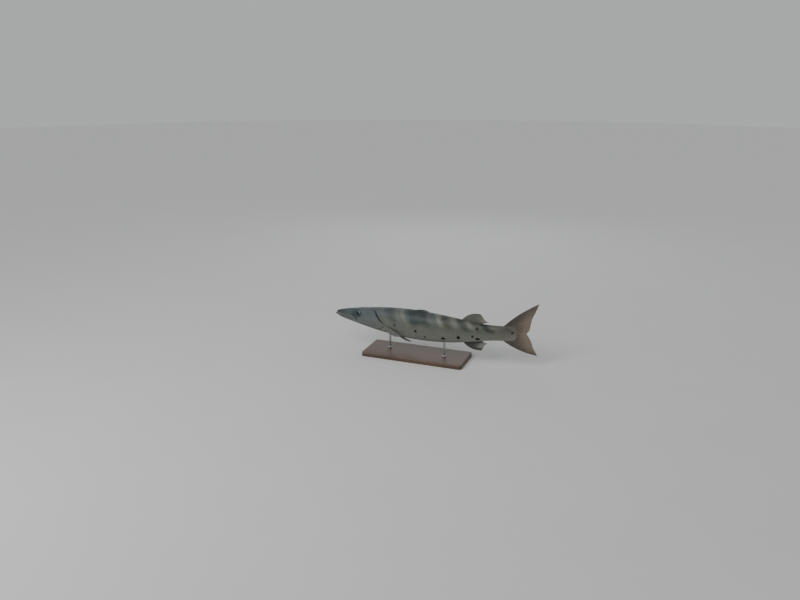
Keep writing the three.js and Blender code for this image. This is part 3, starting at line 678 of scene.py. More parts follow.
def head_relief(s, y, z, share):
    """Bones, pores and nostrils."""
    edge, on_plate, shown = jaw_plate(s, z)
    plate = shown * np.where(on_plate, 1.15 * smooth(edge, 0, 1.8), -0.9 * bump(edge, 0.9, 1.1))
    # Bones of the snout: a ridge on each side of the top, with a shallow trough between
    across = np.abs(y) / section(s)[2]
    ridges = (0.75 * bump(across, 0.52, 0.12) - 0.6 * bump(across, 0.0, 0.22)) * (share > 0.3)
    ridges = ridges * window(s, 6, 30, 120, 190)
    brow = 0.9 * bump(s, 122, 26) * bump(across, 0.62, 0.16) * (share > 0.4)
    # Jaw: a long hollow under the lip, the two bones under the throat, and a fleshy knob in front
    jaw = -0.7 * bump(share, -0.45, 0.14) * window(s, 15, 40, 110, 150)
    throat = 0.7 * np.cos(across * 17) * (share < -0.55) * window(s, 70, 130, 225, 262)
    chin = 1.3 * bump(s, -5.5, 5.5) * (share < 0)
    # Bones round the eye and down the cheek, and the sense pores under the jaw's edge and on the brow
    bony = 0.35 * np.sin(s * 0.21 + z * 0.16) * np.sin(z * 0.23 - s * 0.05) * smooth(s, 70, 110) * (s < 150)
    bony = bony * (share > -0.6) * (share < 0.7)
    pores = bump(share, -0.36 - 0.0012 * s, 0.035) * bump(np.mod(s, 11.0), 5.5, 1.3)
    brow_pores = bump(across, 0.52, 0.05) * bump(np.mod(s, 13.0), 6.5, 1.2) * (share > 0.3)
    pores = -0.7 * pores * window(s, 8, 14, 118, 126) - 0.5 * brow_pores * window(s, 30, 40, 88, 96)
    nostril = 0
    for at, high, radius in NOSTRILS:
        apart = np.hypot(s - at, z - high)
        nostril = nostril - 1.9 * bump(apart, 0, radius * 0.8) + 0.4 * bump(apart, radius * 1.5, 0.8)
    return plate + ridges + brow + jaw + throat + nostril + bony + pores + chin


def open_slit(s, z):
    """The upper half of the gill slit gapes a little, and painted shade darkens the gap."""
    return smooth(s, 190, 206) * window(z, -13, -5, 33, 38)


def beyond_cover(s, z):
    """Distance behind the edge of the gill cover; below zero on the cover itself."""
    return distance_to(cover_line, s, z) * np.where(inside_of(cover_line, s, z), -1, 1)


def cheek_back(z):
    """Where the cheek ends, by height."""
    return np.interp(z, cheek_line[::-1, 1], cheek_line[::-1, 0])


FOLD_FROM = (104, 124)  # the folds of the cheek fade in over these mm


def gill_relief(s, z):
    """The gill cover, the slit behind it and the fold of the cheek ahead of it."""
    past, percent = beyond_cover(s, z), s / PERCENT
    # The front and top of the cover run into the head, and only the rear edge stands free
    rear = smooth(percent, 22.5, 26) * (1 - 0.6 * smooth(z / PERCENT, 2.6, 4.2))
    lift = (0.15 + 1.35 * smooth(percent, 20, 28)) * smooth(-past, -0.4, 1.5)
    fan = 0.22 * np.cos((z / PERCENT + 1) * 5.2 - (percent - 20) * 0.55) * smooth(-past, 3, 8)
    slit = -0.35 * (1 - rear) * bump(past, 0.4, 2.4) - rear * 2.6 * bump(past, 1.5, 1.9)
    slit = slit - 1.4 * rear * open_slit(s, z) * bump(past, 3.8, 2.6)
    cheek = distance_to(cheek_line, s, z, False)
    fold = 0.55 * bump(cheek, 2.4, 1.8) * (s < cheek_back(z)) - 0.7 * bump(cheek, 0, 1.1)
    return lift + fan + slit + fold * smooth(s, *FOLD_FROM)


def painted_crease_shade(s, z):
    """Painted shade where light hardly reaches: in the gill slit, at the breast fin's base, along the jaw's
    plate, the cheek and the mouth's corner.
    """
    depth = np.zeros(np.shape(s))
    near = (s > 40) & (s < 275)
    s, z = s[near], z[near]
    past = beyond_cover(s, z)
    # Painted shade in the slit behind the gill cover, and more of it where the slit gapes
    gill = smooth(s / PERCENT, 22.5, 26.5) * bump(past, 1.0, 2.2)
    gill = gill * (1 - 0.55 * smooth(-z, 2, 12) - 0.35 * smooth(-z, 24, 36))
    gape = 1.15 * open_slit(s, z) * window(past, -1.0, 1.2, 4.2, 6.8)
    # A painted shadow at the breast fin's base
    axil_shadow = 0.8 * bump(np.hypot(s - 257, z + 20), 0, 4.0)
    # Painted shade in the mouth's corner, along the jaw plate's edge and along the cheek's edge
    corner = 0.8 * bump(z - mouth_top(np.minimum(s, 112)), 0, 1.3) * bump(s, 102, 8)
    from_plate, _, shown = jaw_plate(s, z)
    plate = 0.9 * shown * bump(from_plate, 0.7, 1.3) * smooth(s, 60, 92)
    cheek = 0.35 * bump(distance_to(cheek_line, s, z, False), 0, 0.9) * smooth(s, *FOLD_FROM)
    depth[near] = np.maximum.reduce([gill, gape, axil_shadow, corner, plate, cheek])
    return np.clip(depth, 0, 1)


def skin_lift(s, y, z, normal):
    """How far the skin stands over the plain form, in mm."""
    share = height_share(s, z)
    lift = -0.1 - (COAT_DEPTH - 0.1) * smooth(s, 60, 160)
    lift = lift * (1 - 0.5 * smooth(s, 760, 806))
    for at, high, wide, tall in FIN_BASES:
        lift = lift + tall * bump(np.hypot(s - at * PERCENT, z - high * PERCENT), 0, wide)
    # The groove that the folded first dorsal fin lies in
    lift = lift - 0.7 * bump(np.abs(y), 0, 2.6) * (share > 0.8) * window(s, 325, 345, 430, 452)
    lift = lift + lip_relief(s, z) * (s < 112)
    lift = lift + head_relief(s, y, z, share) * (s < 265)
    lift = lift + np.where((s > 90) & (s < 275), gill_relief(s, z), 0)
    right_way = normal * vectors(1, np.where(y < 0, -1, 1), 1)
    return lift + np.where((s > 88) & (s < 148), eye_relief(s, y, z, right_way), 0)


# %% Raise the relief
normals = np.zeros(len(skin_points) * 3, np.float32)
skin.data.vertex_normals.foreach_get("vector", normals)
normals = normals.reshape(-1, 3).astype(float)
s, y, z = skin_points.T
lift = np.where(outside, skin_lift(s, y, z, normals), 0)
skin_shaped = skin_points + normals * lift[:, None]
skin_shaped[:, 1] = thinned(s, skin_shaped[:, 1])
print("relief from", lift.min().round(2), "to", lift.max().round(2), "mm")
# lie keeps the height share, the inside of the mouth, and the painted shade of the slit and folds
lie = vectors(height_share(s, z), ~outside, painted_crease_shade(s, z) * outside)
set_down(skin, skin_shaped, fish=skin_points, lie=lie)

# %% [markdown]
# ## Scales
#
# Great barracudas have about eighty scales in the lateral line. Each is a thin round-edged plate
# that grows out of the skin at its front and lies over the next one. One scale is drawn once, as
# a small grid with a rim, and set down row by row on the skin, each row half a scale behind its
# neighbour. Real mesh is used, since the export keeps it, and the relief is low, as on the fish.

# %% One scale
SCALE_ROWS = 22  # on each side, from the back to the belly
SCALE_LONG, SCALE_WIDE = 1.6, 1.32  # of the spacing
SCALE_THICK = 0.75
SCALE_ALONG = np.array([0.0, 0.33, 0.66, 0.88, 1.0])
SCALE_ACROSS = np.array([-1.0, -0.62, -0.21, 0.21, 0.62, 1.0])


def one_scale():
    """Points of a scale as (along 0-1, across -1 to 1, height 0-1), and its faces."""
    u, t = np.meshgrid(SCALE_ALONG, SCALE_ACROSS, indexing="ij")
    across = t * (0.8 + 0.2 * np.sin(np.pi * u))
    top = vectors(u * (1 - 0.3 * t**2 * u), across, u**0.9 * (1 - 0.22 * t**2)).reshape(-1, 3)
    rim = rim_of(*u.shape)
    n, m = len(top), len(rim)
    faces = grid_faces(*u.shape)[:, ::-1].tolist()
    faces += [[rim[k], rim[(k + 1) % m], n + (k + 1) % m, n + k] for k in range(m)]
    faces.append([*range(n + m - 1, n - 1, -1)])
    return np.concatenate([top, top[rim] - (0, 0, SCALE_THICK)]), faces


scale_points, scale_faces = one_scale()
print("one scale:", len(scale_faces), "faces")

# %% Where the scales grow
STEP_ALONG, STEP_ROUND = 0.5, 0.01  # mm and radians to a neighbour, which gives the skin's slope


def half_girth(s):
    """Half the way round the body at s, in mm."""
    y, z = form_point(s, np.linspace(math.pi / 2, -math.pi / 2, 40))
    return float(np.hypot(np.diff(y), np.diff(z)).sum())


def surface(s, angle, side):
    """Place and outward normal on the shaped skin, for a side of -1 or 1."""
    y, z = form_point(s, angle)
    y2, z2 = form_point(s + STEP_ALONG, angle)
    y3, z3 = form_point(s, angle + STEP_ROUND)
    out = np.cross(vectors(STEP_ALONG, y2 - y, z2 - z), vectors(0, y3 - y, z3 - z))
    out = out / np.linalg.norm(out, axis=-1, keepdims=True)
    inward = out[:, 1] * np.maximum(y, 0.01) + out[:, 2] * np.sin(angle) < 0
    out[inward] *= -1
    place = vectors(s, y, z) + out * skin_lift(s, y, z, out)[:, None]
    place[:, 1] = thinned(s, place[:, 1])
    return place * (1, side, 1), out * (1, side, 1)


# How far forward the scales reach, from the nape down the gill's rear edge to the throat
GILL_BACK = np.array([
    [19.5, 5.2], [23.0, 4.9], [26.0, 4.6], [27.6, 3.0], [29.0, 1.2], [30.6, -0.5], [32.4, -1.9],
    [32.8, -2.9], [31.2, -4.3], [28.6, -5.6], [27.0, -6.5],
]) * PERCENT
station = np.arange(140, 815, 1.0)
spacing = np.array([half_girth(v) / SCALE_ROWS for v in station])
flow = np.concatenate([[0], np.cumsum(1 / (spacing[:-1] * 1.02))])  # scales passed since the nape
print("scales along the side:", int(flow[-1] - np.interp(255, station, flow)))


def scale_roots():
    """Rows of (along, angle, spacing) over the flank, from the nape and gills to the tail."""
    count, row = np.meshgrid(np.arange(0, flow[-1], 1.0), np.arange(SCALE_ROWS), indexing="ij")
    s = np.interp((count + 0.5 * (row % 2)).reshape(-1), flow, station)
    angle = math.pi / 2 - math.pi * (row.reshape(-1) + 0.5) / SCALE_ROWS
    y, z = form_point(s, angle)
    # The nape, the gill slit and the throat bound the scales in front
    keep = (s > np.interp(-z, -GILL_BACK[:, 1], GILL_BACK[:, 0])) & (beyond_cover(s, z) >= 7.0)
    # They stop where the tail's rays come out of the thin flesh
    keep &= (s < stalk_edge(z) - 3.5) & ((s < 750) | (thinned(s, y) > 1.5))
    return vectors(s, angle, np.interp(s, station, spacing))[keep]


# %% [markdown]
# Every point of every scale is placed in one go. The same place on the skin also gives each scale
# its patch on the map named OFBake: the body unrolled, with length one way and girth the other.

# %% Lay the scales
tones = np.random.default_rng(5)
PATCH = 0.003
SEAM = math.pi / 2 - 0.004  # a scale ends here, just short of the middle of the back or belly


def lay_map(made, s, angle, side, a, b):
    """Gives each small piece its patch on the unrolled body, at the place where it grows."""
    u = (s / 820 * 0.98 + 0.005)[:, None] + a * PATCH
    v = (0.5 + side * (0.01 + (math.pi / 2 - angle) / math.pi * 0.47))[:, None] + b * PATCH / 2
    corner = np.zeros(len(made.data.loops), np.int32)
    made.data.loops.foreach_get("vertex_index", corner)
    unwrap = made.data.uv_layers.new(name="OFBake")
    unwrap.data.foreach_set("uv", vectors(u, v).reshape(-1, 2)[corner].astype(np.float32).reshape(-1))


def lay_copies(name, side, s, angle, along, across, high, faces, patch, scale, tube=False):
    """A small shape at each root. along, across and high are its points in mm, a row for each copy."""
    girth = np.interp(s, station, spacing) * SCALE_ROWS
    around = np.clip(angle[:, None] - across / girth[:, None] * math.pi, -SEAM, SEAM)
    place, out = surface((s[:, None] + along).reshape(-1), around.reshape(-1), side)
    points = place + out * high.reshape(-1)[:, None]
    made = make_mesh(name, points, copied_faces(faces, *along.shape), turn_out=tube)
    if side < 0 and not tube:
        made.data.flip_normals()
    at, up_at = place[:, 0], place[:, 2]
    # Scales take the painted shade of the slit and folds from the skin under them; the line's tubes take none
    dark = 0 if tube else painted_crease_shade(at, up_at)
    lie = vectors(height_share(at, up_at), 0, dark)
    set_down(made, points, fish=place, lie=lie, scale=np.broadcast_to(scale, place.shape))
    lay_map(made, s, angle, side, *patch)
    return made


def lay_scales(name, roots, side, rise):
    s, angle, pitch = roots.T
    n = len(roots)
    tone, turn = tones.uniform(-1, 1, n), tones.normal(0, 0.05, n)[:, None]
    a, b, h = scale_points.T
    along, across = (a - 0.5) * pitch[:, None] * SCALE_LONG, b * pitch[:, None] * SCALE_WIDE / 2
    return lay_copies(
        name, side, s, angle, along - across * turn, across + along * turn, np.tile(rise * h - 0.3, (n, 1)),
        scale_faces, (a, b), vectors(np.tile(a, n), np.tile(b, n), np.repeat(tone, len(a))),
    )


body_scales = []
roots = scale_roots()
for side, word in SIDES:
    for part, chosen in (("back", roots[:, 1] > 0.15), ("belly", roots[:, 1] <= 0.15)):
        body_scales.append(lay_scales(f"scales_{part}_{word}", roots[chosen], side, 0.68))

# %% [markdown]
# The cheek and the gill cover carry smaller scales, in the same lie.

# %% Scales of the cheek and gill cover
HEAD_PITCH = 3.9  # mm from scale to scale


def head_roots():
    roots = []
    for column, s in enumerate(np.arange(124.0, 252.0, HEAD_PITCH * 0.88)):
        girth = half_girth(s)
        row = np.arange(int(girth / HEAD_PITCH)) + 0.5 * (column % 2)
        roots.append(vectors(s, math.pi / 2 - math.pi * row * HEAD_PITCH / girth, HEAD_PITCH))
    roots = np.concatenate(roots)
    s, angle, _ = roots.T
    y, z = form_point(s, angle)
    from_eye = np.linalg.norm(vectors(s, y, z) - eye_on_skin, axis=1)
    past = beyond_cover(s, z)
    on_cover = past < -2.6 - 1.6 * smooth(s / PERCENT, 22, 26)
    on_cheek = (s < cheek_back(z) - 1.5) & (z > -35) & (z < 23 - (s - 130) * 0.1) & (s > 122 - 0.25 * z)
    clear = (distance_to(cheek_line, s, z, False) > 1.6) & (from_eye > 18.5) & (np.abs(angle) < 1.05)
    return roots[(on_cover | (on_cheek & (past > 0))) & clear]


for side, word in SIDES:
    body_scales.append(lay_scales(f"scales_head_{word}", head_roots(), side, 0.5))
print("scales:", sum(len(o.data.polygons) for o in body_scales) // len(scale_faces))

# %% [markdown]
# The lateral line is a row of small tubes, one on each scale, from the gills to the tail. One tube
# is a small sphere, drawn out in edit mode, and its points are set down again and again.

# %% Lateral line
LINE_PLACES = np.array([[27.9, 3.2], [35, 2.9], [46, 2.1], [60, 1.35], [75, 0.75], [90, 0.3], [100.5, 0.0]])
bpy.ops.object.select_all(action="DESELECT")
bpy.ops.mesh.primitive_uv_sphere_add(segments=8, ring_count=5, radius=1)
tube = bpy.context.object
bpy.ops.object.mode_set(mode="EDIT")
bpy.ops.mesh.select_all(action="SELECT")
bpy.ops.transform.resize(value=(3.1, 0.8, 0.42))
bpy.ops.object.mode_set(mode="OBJECT")
tube_points = np.array([v.co for v in tube.data.vertices])
tube_faces = []
for face in tube.data.polygons:
    ring = list(face.vertices)
    first = ring.index(min(ring))
    tube_faces.append(ring[first:] + ring[:first])
tube_faces.sort()  # Blender numbers them in another order from run to run
bpy.data.objects.remove(tube)


def lateral_line(name, side):
    curve = rounded(LINE_PLACES * PERCENT, False, each=40)
    passed = np.interp(curve[:, 0], station, flow)
    wanted = np.arange(math.ceil(passed[0]), passed[-1])
    s, z = (np.interp(wanted, passed, column) for column in curve.T)
    size = np.interp(s, station, spacing)[:, None] / 6.6
    a, b, h = tube_points.T
    return lay_copies(
        name, side, s, angle_at(s, z), a * size, b * size, 0.14 + (h + 0.05 * a) * size, tube_faces,
        (a / 6.2 + 0.5, b), (0, 0, -1.5), tube=True,
    )


body_scales += [lateral_line(f"lateral_line_{word}", side) for side, word in SIDES]

# %% [markdown]
# ## The markings
#
# Alive, the fish is a mirror with a tint: blue-grey along the back, green-grey on the side, pale
# below, with soft darker bars on the upper side, painted sunlight flecks between them, and a few
# ink-dark spots low on the flank that differ on each fish and on each side. The skin and the scales
# share one material, so the same markings run over both. It reads three values kept on each point:
# "fish", the place on the straight fish in millimetres, "lie", which holds the height from belly to
# back, the inside of the mouth and the painted shade in the gill slit and deep folds, and "scale",
# the place on the scale and the scale's own tone.

# %% Marking places, in percent of the body's length
# along, height, half length, half height, strength
LEFT_SPOTS = (
    (39.0, -0.8, 0.62, 0.7, 0.85), (39.7, -4.3, 0.5, 0.45, 0.4), (51.2, -2.2, 0.72, 0.82, 1.0),
    (56.1, -5.0, 0.72, 0.52, 0.85), (66.0, -4.5, 1.15, 0.75, 1.0), (73.9, -3.1, 0.85, 1.0, 1.0),
    (81.1, -1.9, 0.6, 0.75, 0.95), (83.3, 2.4, 0.6, 0.95, 0.9), (83.6, -3.3, 1.25, 0.75, 1.0),
    (89.9, -2.6, 0.7, 0.6, 0.4), (101.0, 0.4, 0.65, 0.65, 0.9), (101.0, -2.9, 0.5, 0.4, 0.4),
)
RIGHT_SPOTS = (
    (42.5, -3.2, 0.6, 0.55, 0.6), (49.0, -4.6, 0.8, 0.6, 0.9), (58.8, -1.6, 0.6, 0.75, 0.8),
    (63.5, -5.1, 1.0, 0.6, 1.0), (70.6, -3.6, 0.8, 0.9, 1.0), (77.5, -2.4, 1.1, 0.75, 1.0),
    (86.2, -2.7, 0.7, 0.8, 0.9), (91.5, 1.1, 0.5, 0.6, 0.5), (100.8, -1.2, 0.6, 0.6, 0.7),
)
# along, half length and strength of the dark bars of the upper side, and of the painted sunlight flecks
# between them
DARK_BARS = (
    (36.2, 1.7, 0.35), (48.6, 1.6, 0.75), (52.4, 5.0, 0.85), (56.0, 2.0, 0.9), (67.6, 1.6, 0.6),
    (76.3, 1.6, 0.65), (88.4, 1.9, 1.0), (98.6, 1.9, 0.8),
)
PAINTED_SUN_FLECKS = (
    (31.8, 1.2, 0.4), (41.0, 1.2, 0.4), (43.9, 1.4, 0.75), (64.4, 1.4, 0.85), (72.3, 1.6, 0.55),
    (80.4, 1.6, 0.85), (92.4, 1.5, 0.3),
)
BAR_LEAN = 4.8 * PERCENT  # a bar's lower end lies this much farther back
EYE_PATCH, EYE_PATCH_SIZE = (109.0, 8.0), (30.0, 17.0)  # middle and half size of a dark patch, in mm

# %% Shades of the fish
BODY_BANDS = (
    (0.0, "#85857f"), (0.06, "#73746e"), (0.2, "#65675f"), (0.36, "#5d6058"), (0.55, "#565952"),
    (0.74, "#4e534f"), (1.0, "#454b4b"),
)
CHEEK_SHADE, HEAD_TOP_SHADE, SNOUT_SHADE, PATCH_SHADE = "#5a5e5f", "#475051", "#2b3133", "#222f37"
# The pale gaps' colour is painted sunlight, flecks on the upper side.
BAR_SHADE, SUN_FLECK_PAINT, STALK_SHADE, SPOT_SHADE = "#242c2d", "#74746d", "#645f57", "#0b0b0a"
# The crease colour is painted shade for the deep folds and the gill slit.
OLIVE_TINT, MOUTH_SHADE, PAINTED_CREASE_SHADE = "#fff6e2", "#4b4948", "#131518"


# %% Paint of the fish
def oval(add, at, middle, half, ragged):
    """Squared distance from an oval's middle by its half sizes, with an uneven edge."""
    ds, dz = (add("Math.MULTIPLY_ADD", a, 1 / h, -m / h) for a, m, h in zip(at, middle, half))
    return add("Math.MULTIPLY_ADD", dz, dz, add("Math.MULTIPLY_ADD", ds, ds, ragged))


def spots(add, at, places, ragged):
    """Dark spots as soft ovals, joined into one mask."""
    total = 0.0
    for along, high, long, tall, strength in places:
        far = oval(add, at, (along * PERCENT, high * PERCENT), (long * PERCENT, tall * PERCENT), ragged)
        total = add("Math.MAXIMUM", add("MapRange.SMOOTHSTEP", far, 0.6, 1.4, strength, 0.0), total)
    return total


def bars(add, slanted, places):
    """Upright bands as one mask, by their places along the body."""
    total = 0.0
    for along, half, strength in places:
        far = add("Math.ABSOLUTE", add("Math.SUBTRACT", slanted, along * PERCENT))
        bar = add("MapRange.SMOOTHSTEP", far, half * PERCENT * 0.35, half * PERCENT * 1.5, strength, 0.0)
        total = add("Math.MAXIMUM", bar, total)
    return total


def fish_paint(add):
    """Colour of the skin and of its scales, and the values that the relief reads too."""
    places, parts = [], []
    for name in ("fish", "lie", "scale"):
        places.append(add("Attribute", attribute_name=name, out="Vector"))
        parts += add("SeparateXYZ", places[-1]).node.outputs[:3]
    # crease is the painted shade in the gill slit and the deep folds
    place, (s, y, z, share, mouth, crease, from_root, across, tint) = places[0], parts
    broad = add("TexNoise", Vector=place, Scale=0.022, Detail=3.0)
    fine = add("TexNoise", Vector=place, Scale=0.17, Detail=4.0)
    freckles = add("TexNoise", Vector=place, Scale=0.45, Detail=2.0)  # 1 to 3 mm across
    high = add("Math.ADD", share, add("Math.MULTIPLY_ADD", broad, 0.5, -0.25))
    ragged = add("Math.MULTIPLY_ADD", fine, 0.9, -0.45)
    bands = add("ValToRGB", add("MapRange.SMOOTHSTEP", high, -1.0, 1.0))
    stops = bands.node.color_ramp
    stops.interpolation = "EASE"
    for at, shade in BODY_BANDS[1:-1]:
        stops.elements.new(at)
    for element, (at, shade) in zip(stops.elements, BODY_BANDS):
        element.position, element.color = at, linear(shade)
    # Bars and painted sunlight flecks waver and lean back, and their strength is uneven. The flecks reach
    # lower in front
    lean = add("Math.MULTIPLY_ADD", share, BAR_LEAN, s)
    slanted = add("Math.ADD", lean, add("Math.MULTIPLY_ADD", fine, 26.0, -13.0 - BAR_LEAN / 2))
    uneven = (broad, 0.25, 0.6, 0.6, 1.0)
    low = add("Math.ADD", high, add("MapRange.SMOOTHSTEP", s, 44.0 * PERCENT, 58.0 * PERCENT, 0.35, 0.0))
    # Head: cooler above, silver grey on cheek and jaw, dusky toward the snout, dark round the eye
    on_head = (s, 265.0, 190.0, 0.0, 0.85)
    colour = layered(
        add, bands, (CHEEK_SHADE, on_head), (HEAD_TOP_SHADE, on_head, (high, 0.05, 0.7)),
        (SNOUT_SHADE, (s, 120.0, 4.0, 0.0, 0.8), (share, -0.75, 0.2, 0.45, 1.0)),
        (PATCH_SHADE, (oval(add, (s, z), EYE_PATCH, EYE_PATCH_SIZE, ragged), 0.2, 1.6, 0.8, 0.0)),
        (BAR_SHADE, bars(add, slanted, DARK_BARS), (high, -0.15, 0.42, 0.0, 0.95), uneven),
    )
    # The back turns from blue-grey to olive behind the first dorsal fin
    behind = (s, 56.0 * PERCENT, 66.0 * PERCENT)
    colour = layered(add, colour, (OLIVE_TINT, behind, (share, -0.1, 0.5)), mode="MULTIPLY")
    # Painted sunlight flecks between the bars, warm olive over the end of the body, and freckles on the naked
    # top of the head
    colour = layered(
        add, colour, (SUN_FLECK_PAINT, bars(add, slanted, PAINTED_SUN_FLECKS), (low, 0.0, 0.6, 0.0, 0.7), uneven),
        (STALK_SHADE, (s, 700.0, 790.0, 0.0, 0.5)),
        (SNOUT_SHADE, (freckles, 0.5, 0.66), (s, 215.0, 120.0, 0.0, 0.6), (share, -0.3, 0.4)),
    )
    # Uneven tone, large and small, and a tone and a darker rim for each scale
    rim = add("Math.MAXIMUM", from_root, add("Math.ABSOLUTE", across))
    tone = add("MapRange.SMOOTHSTEP", rim, 0.84, 1.0, 1.0, 0.82)
    for value, depth in ((fine, 0.3), (broad, 0.2)):
        tone = add("Math.MULTIPLY", tone, add("Math.MULTIPLY_ADD", value, depth, 1 - depth / 2))
    tone = add("Math.MULTIPLY", tone, add("Math.MULTIPLY_ADD", tint, 0.045, 1.0))
    colour = layered(add, colour, (add("CombineColor", tone, tone, tone), 1.0), mode="MULTIPLY")
    # Ink spots, other ones on each side, painted shade in folds too deep for light, and the inside of the
    # mouth
    colour = layered(
        add, colour, (SPOT_SHADE, spots(add, (s, z), LEFT_SPOTS, ragged), add("MapRange", y, 1.0, -1.0)),
        (SPOT_SHADE, spots(add, (s, z), RIGHT_SPOTS, ragged), add("MapRange", y, -1.0, 1.0)),
        (PAINTED_CREASE_SHADE, crease, 0.88), (MOUTH_SHADE, mouth),
    )
    return colour, place, s, fine, from_root, across


# Wet fish skin under thin clear slime: silvery, so partly metallic, with a soft coat over it.
skin_paint, add, sockets = start_material(
    "wet_silver_fish_skin", Metallic=0.12, Roughness=0.55, Coat_Weight=0.07, Coat_Roughness=0.3, IOR=1.38,
    Specular_IOR_Level=0.4,
)
colour, where_on_fish, along_s, fine, from_root, across = fish_paint(add)
plug(colour, sockets["Base Color"])
plug(add("MapRange", fine, 0.3, 0.7, 0.48, 0.62), sockets["Roughness"])
# Pores about 1 mm apart all over, and on the naked head fine creases that run lengthwise
pores = add("TexNoise", Vector=where_on_fish, Scale=0.9, Detail=3.0)
long_way = add("Mapping", Vector=where_on_fish, Scale=(0.045, 0.62, 0.62))
creased = add("TexNoise", Vector=long_way, Scale=1.0, Detail=3.0)
naked = add("MapRange.SMOOTHSTEP", along_s, 215.0, 120.0, 0.05, 1.4)
pores = add("Math.MULTIPLY", pores, add("Math.MULTIPLY_ADD", naked, 0.3, 0.1))
height = add("Math.MULTIPLY_ADD", creased, naked, pores)

# Growth rings of a scale, about 0.6 mm apart and so faint that only a close look shows them
from_focus = add("Math.SUBTRACT", from_root, 0.25)
wide = add("Math.MULTIPLY", across, 0.5)
ring = add("Math.SQRT", add("Math.MULTIPLY_ADD", wide, wide, add("Math.MULTIPLY", from_focus, from_focus)))
growth = add("Math.MULTIPLY", add("Math.SINE", add("Math.MULTIPLY", ring, 90.0)), 0.025)
relief = add("Bump", Strength=0.6, Distance=0.0009, Height=add("Math.ADD", height, growth))
plug(relief, sockets["Normal"])
finish_piece(skin, skin_paint, (
    "head", "lower_jaw", "gill_cover_left", "gill_cover_right",
    "torso_front", "torso_middle", "torso_rear", "tail_stalk",
))
for made in body_scales:
    finish_piece(made, skin_paint, sharp=35)

# %% [markdown]
# ## Fins
#
# A fin is a fan of bony rays with skin stretched between them. It is drawn as a sheet in its own
# plane: across runs over the rays and along runs from the root to the tips. The thickness swells
# at each ray, and the soft rays split in two and again in four toward the edge, as real ones do.

# %% Fin sheets
def curve_through(places, t):
    """A smooth curve through a few places, by a share from 0 to 1."""
    n = len(places)
    # Each end is drawn on straight, so two places give a straight line
    places = np.concatenate([[2 * places[0] - places[1]], places, [2 * places[-1] - places[-2]]])
    at = np.clip(t, 0, 1) * (n - 1)
    i = np.minimum(at.astype(int), n - 2)
    return spline(*(places[i + k] for k in range(4)), (at - i)[..., None])


def in_middle(u, v, h):
    """A fin of the middle plane: u along, v up and h to the side."""
    return vectors(u, h, v)


def fin_piece(name, count, root, tip, bow, crest, web, place=in_middle, rows=34, cells=8, split=True,
              notch=0.02, wave=0.0, bare_from=0.0):
    """A fin of a number of rays.

    root and tip are places in the fin's plane, or a function of the share of the fan. bow is how
    far the first and last ray curve, and crest and web are thicknesses in mm.
    """
    across = np.linspace(0, count - 1, (count - 1) * cells + 1)
    part = (across - np.round(across))[:, None]
    fan = across / (count - 1)
    start, end = (line(fan) if callable(line) else curve_through(line, fan) for line in (root, tip))
    reach = np.linspace(0, 1, rows + 1) * (1 - notch * (2 * np.abs(part)) ** 1.5)
    arch = (bow[0] + (bow[1] - bow[0]) * fan)[:, None] * 4 * reach * (1 - reach)
    d = (end - start)[:, None]
    flat = start[:, None] + d * reach[..., None] + d[..., ::-1] * (-1, 1) * arch[..., None]
    spread, finer, wide = 0 * reach, 0 * reach, 0.17 - 0.03 * reach
    if split:
        spread, finer = 0.23 * smooth(reach, 0.4, 0.75), 0.11 * smooth(reach, 0.72, 0.95)
        wide = 0.17 - 0.1 * smooth(reach, 0.35, 0.9)
    branches = [a * spread + b * finer for a in (-1, 1) for b in (-1, 1)]
    ridge = np.maximum.reduce([bump(part, branch, wide) for branch in branches])
    # The rays stand out from the web only where they leave the flesh, and thin toward their tips
    thin = (1 - 0.72 * reach) * (smooth(reach, bare_from - 0.22, bare_from) if bare_from else 1)
    half = (web * (1 - 0.35 * reach) + (crest - web) * ridge * thin) / 2
    half = half * (1 - 0.55 * smooth(reach, 0.9, 1.0))
    ripple = wave * np.sin(fan[:, None] * 9 + reach * 3.5) * reach**1.5
    sheets = [place(flat[..., 0], flat[..., 1], ripple + way * half).reshape(-1, 3) for way in (1, -1)]
    points, n = np.concatenate(sheets), reach.size
    one_side, rim = grid_faces(*reach.shape), rim_of(*reach.shape)
    faces = np.concatenate([one_side[:, ::-1], one_side + n]).tolist()
    faces += [[a, b, b + n, a + n] for a, b in zip(rim, rim[1:] + rim[:1])]
    ray = vectors(fan[:, None], reach, ridge).reshape(-1, 3)
    return set_down(make_mesh(name, points, faces), points, fish=points, ray=np.tile(ray, (2, 1)))


# %% Fins of the back, belly and tail
def percent(*places):
    return np.array(places) * PERCENT


SOFT_RAYS = dict(crest=1.9, web=0.55, wave=1.0, notch=0.012)
fin_front = fin_piece(
    "dorsal_spines_folded", 5, percent([43.6, 6.4], [51, 6.4]),
    percent([52.6, 8.55], [54.6, 8.6], [56.2, 8.3], [57.2, 7.9]), (0.02, 0.02), 2.6, 0.6,
    split=False, notch=0.16, cells=10, wave=0.5,
)
fin_rear = fin_piece(
    "dorsal_rays", 10, percent([74.2, 4.9], [83.6, 3.6]),
    percent([84.6, 9.6], [85.7, 8.1], [86.9, 6.5], [88.6, 5.3]), (0.16, 0.05), **SOFT_RAYS,
)
fin_anal = fin_piece(
    "anal_rays", 10, percent([75.0, -5.5], [84.2, -4.2]),
    percent([85.6, -10.2], [86.4, -8.8], [87.2, -7.2], [88.6, -6.1]), (-0.14, -0.05), **SOFT_RAYS,
)
TAIL_UP = percent([108.4, 0], [109.7, 1.7], [110.2, 4.4], [110.9, 8.1], [112.6, 12], [114.2, 16.2])
TAIL_LOW = percent([108.4, 0], [109.6, -1.8], [110.9, -4.3], [112, -7.4], [113.3, -10], [114.5, -12.2])


def tail_base(t):
    return vectors(96.4 + 3.0 * (1 - (2 * t - 1) ** 2), -4.0 + 7.8 * t) * PERCENT


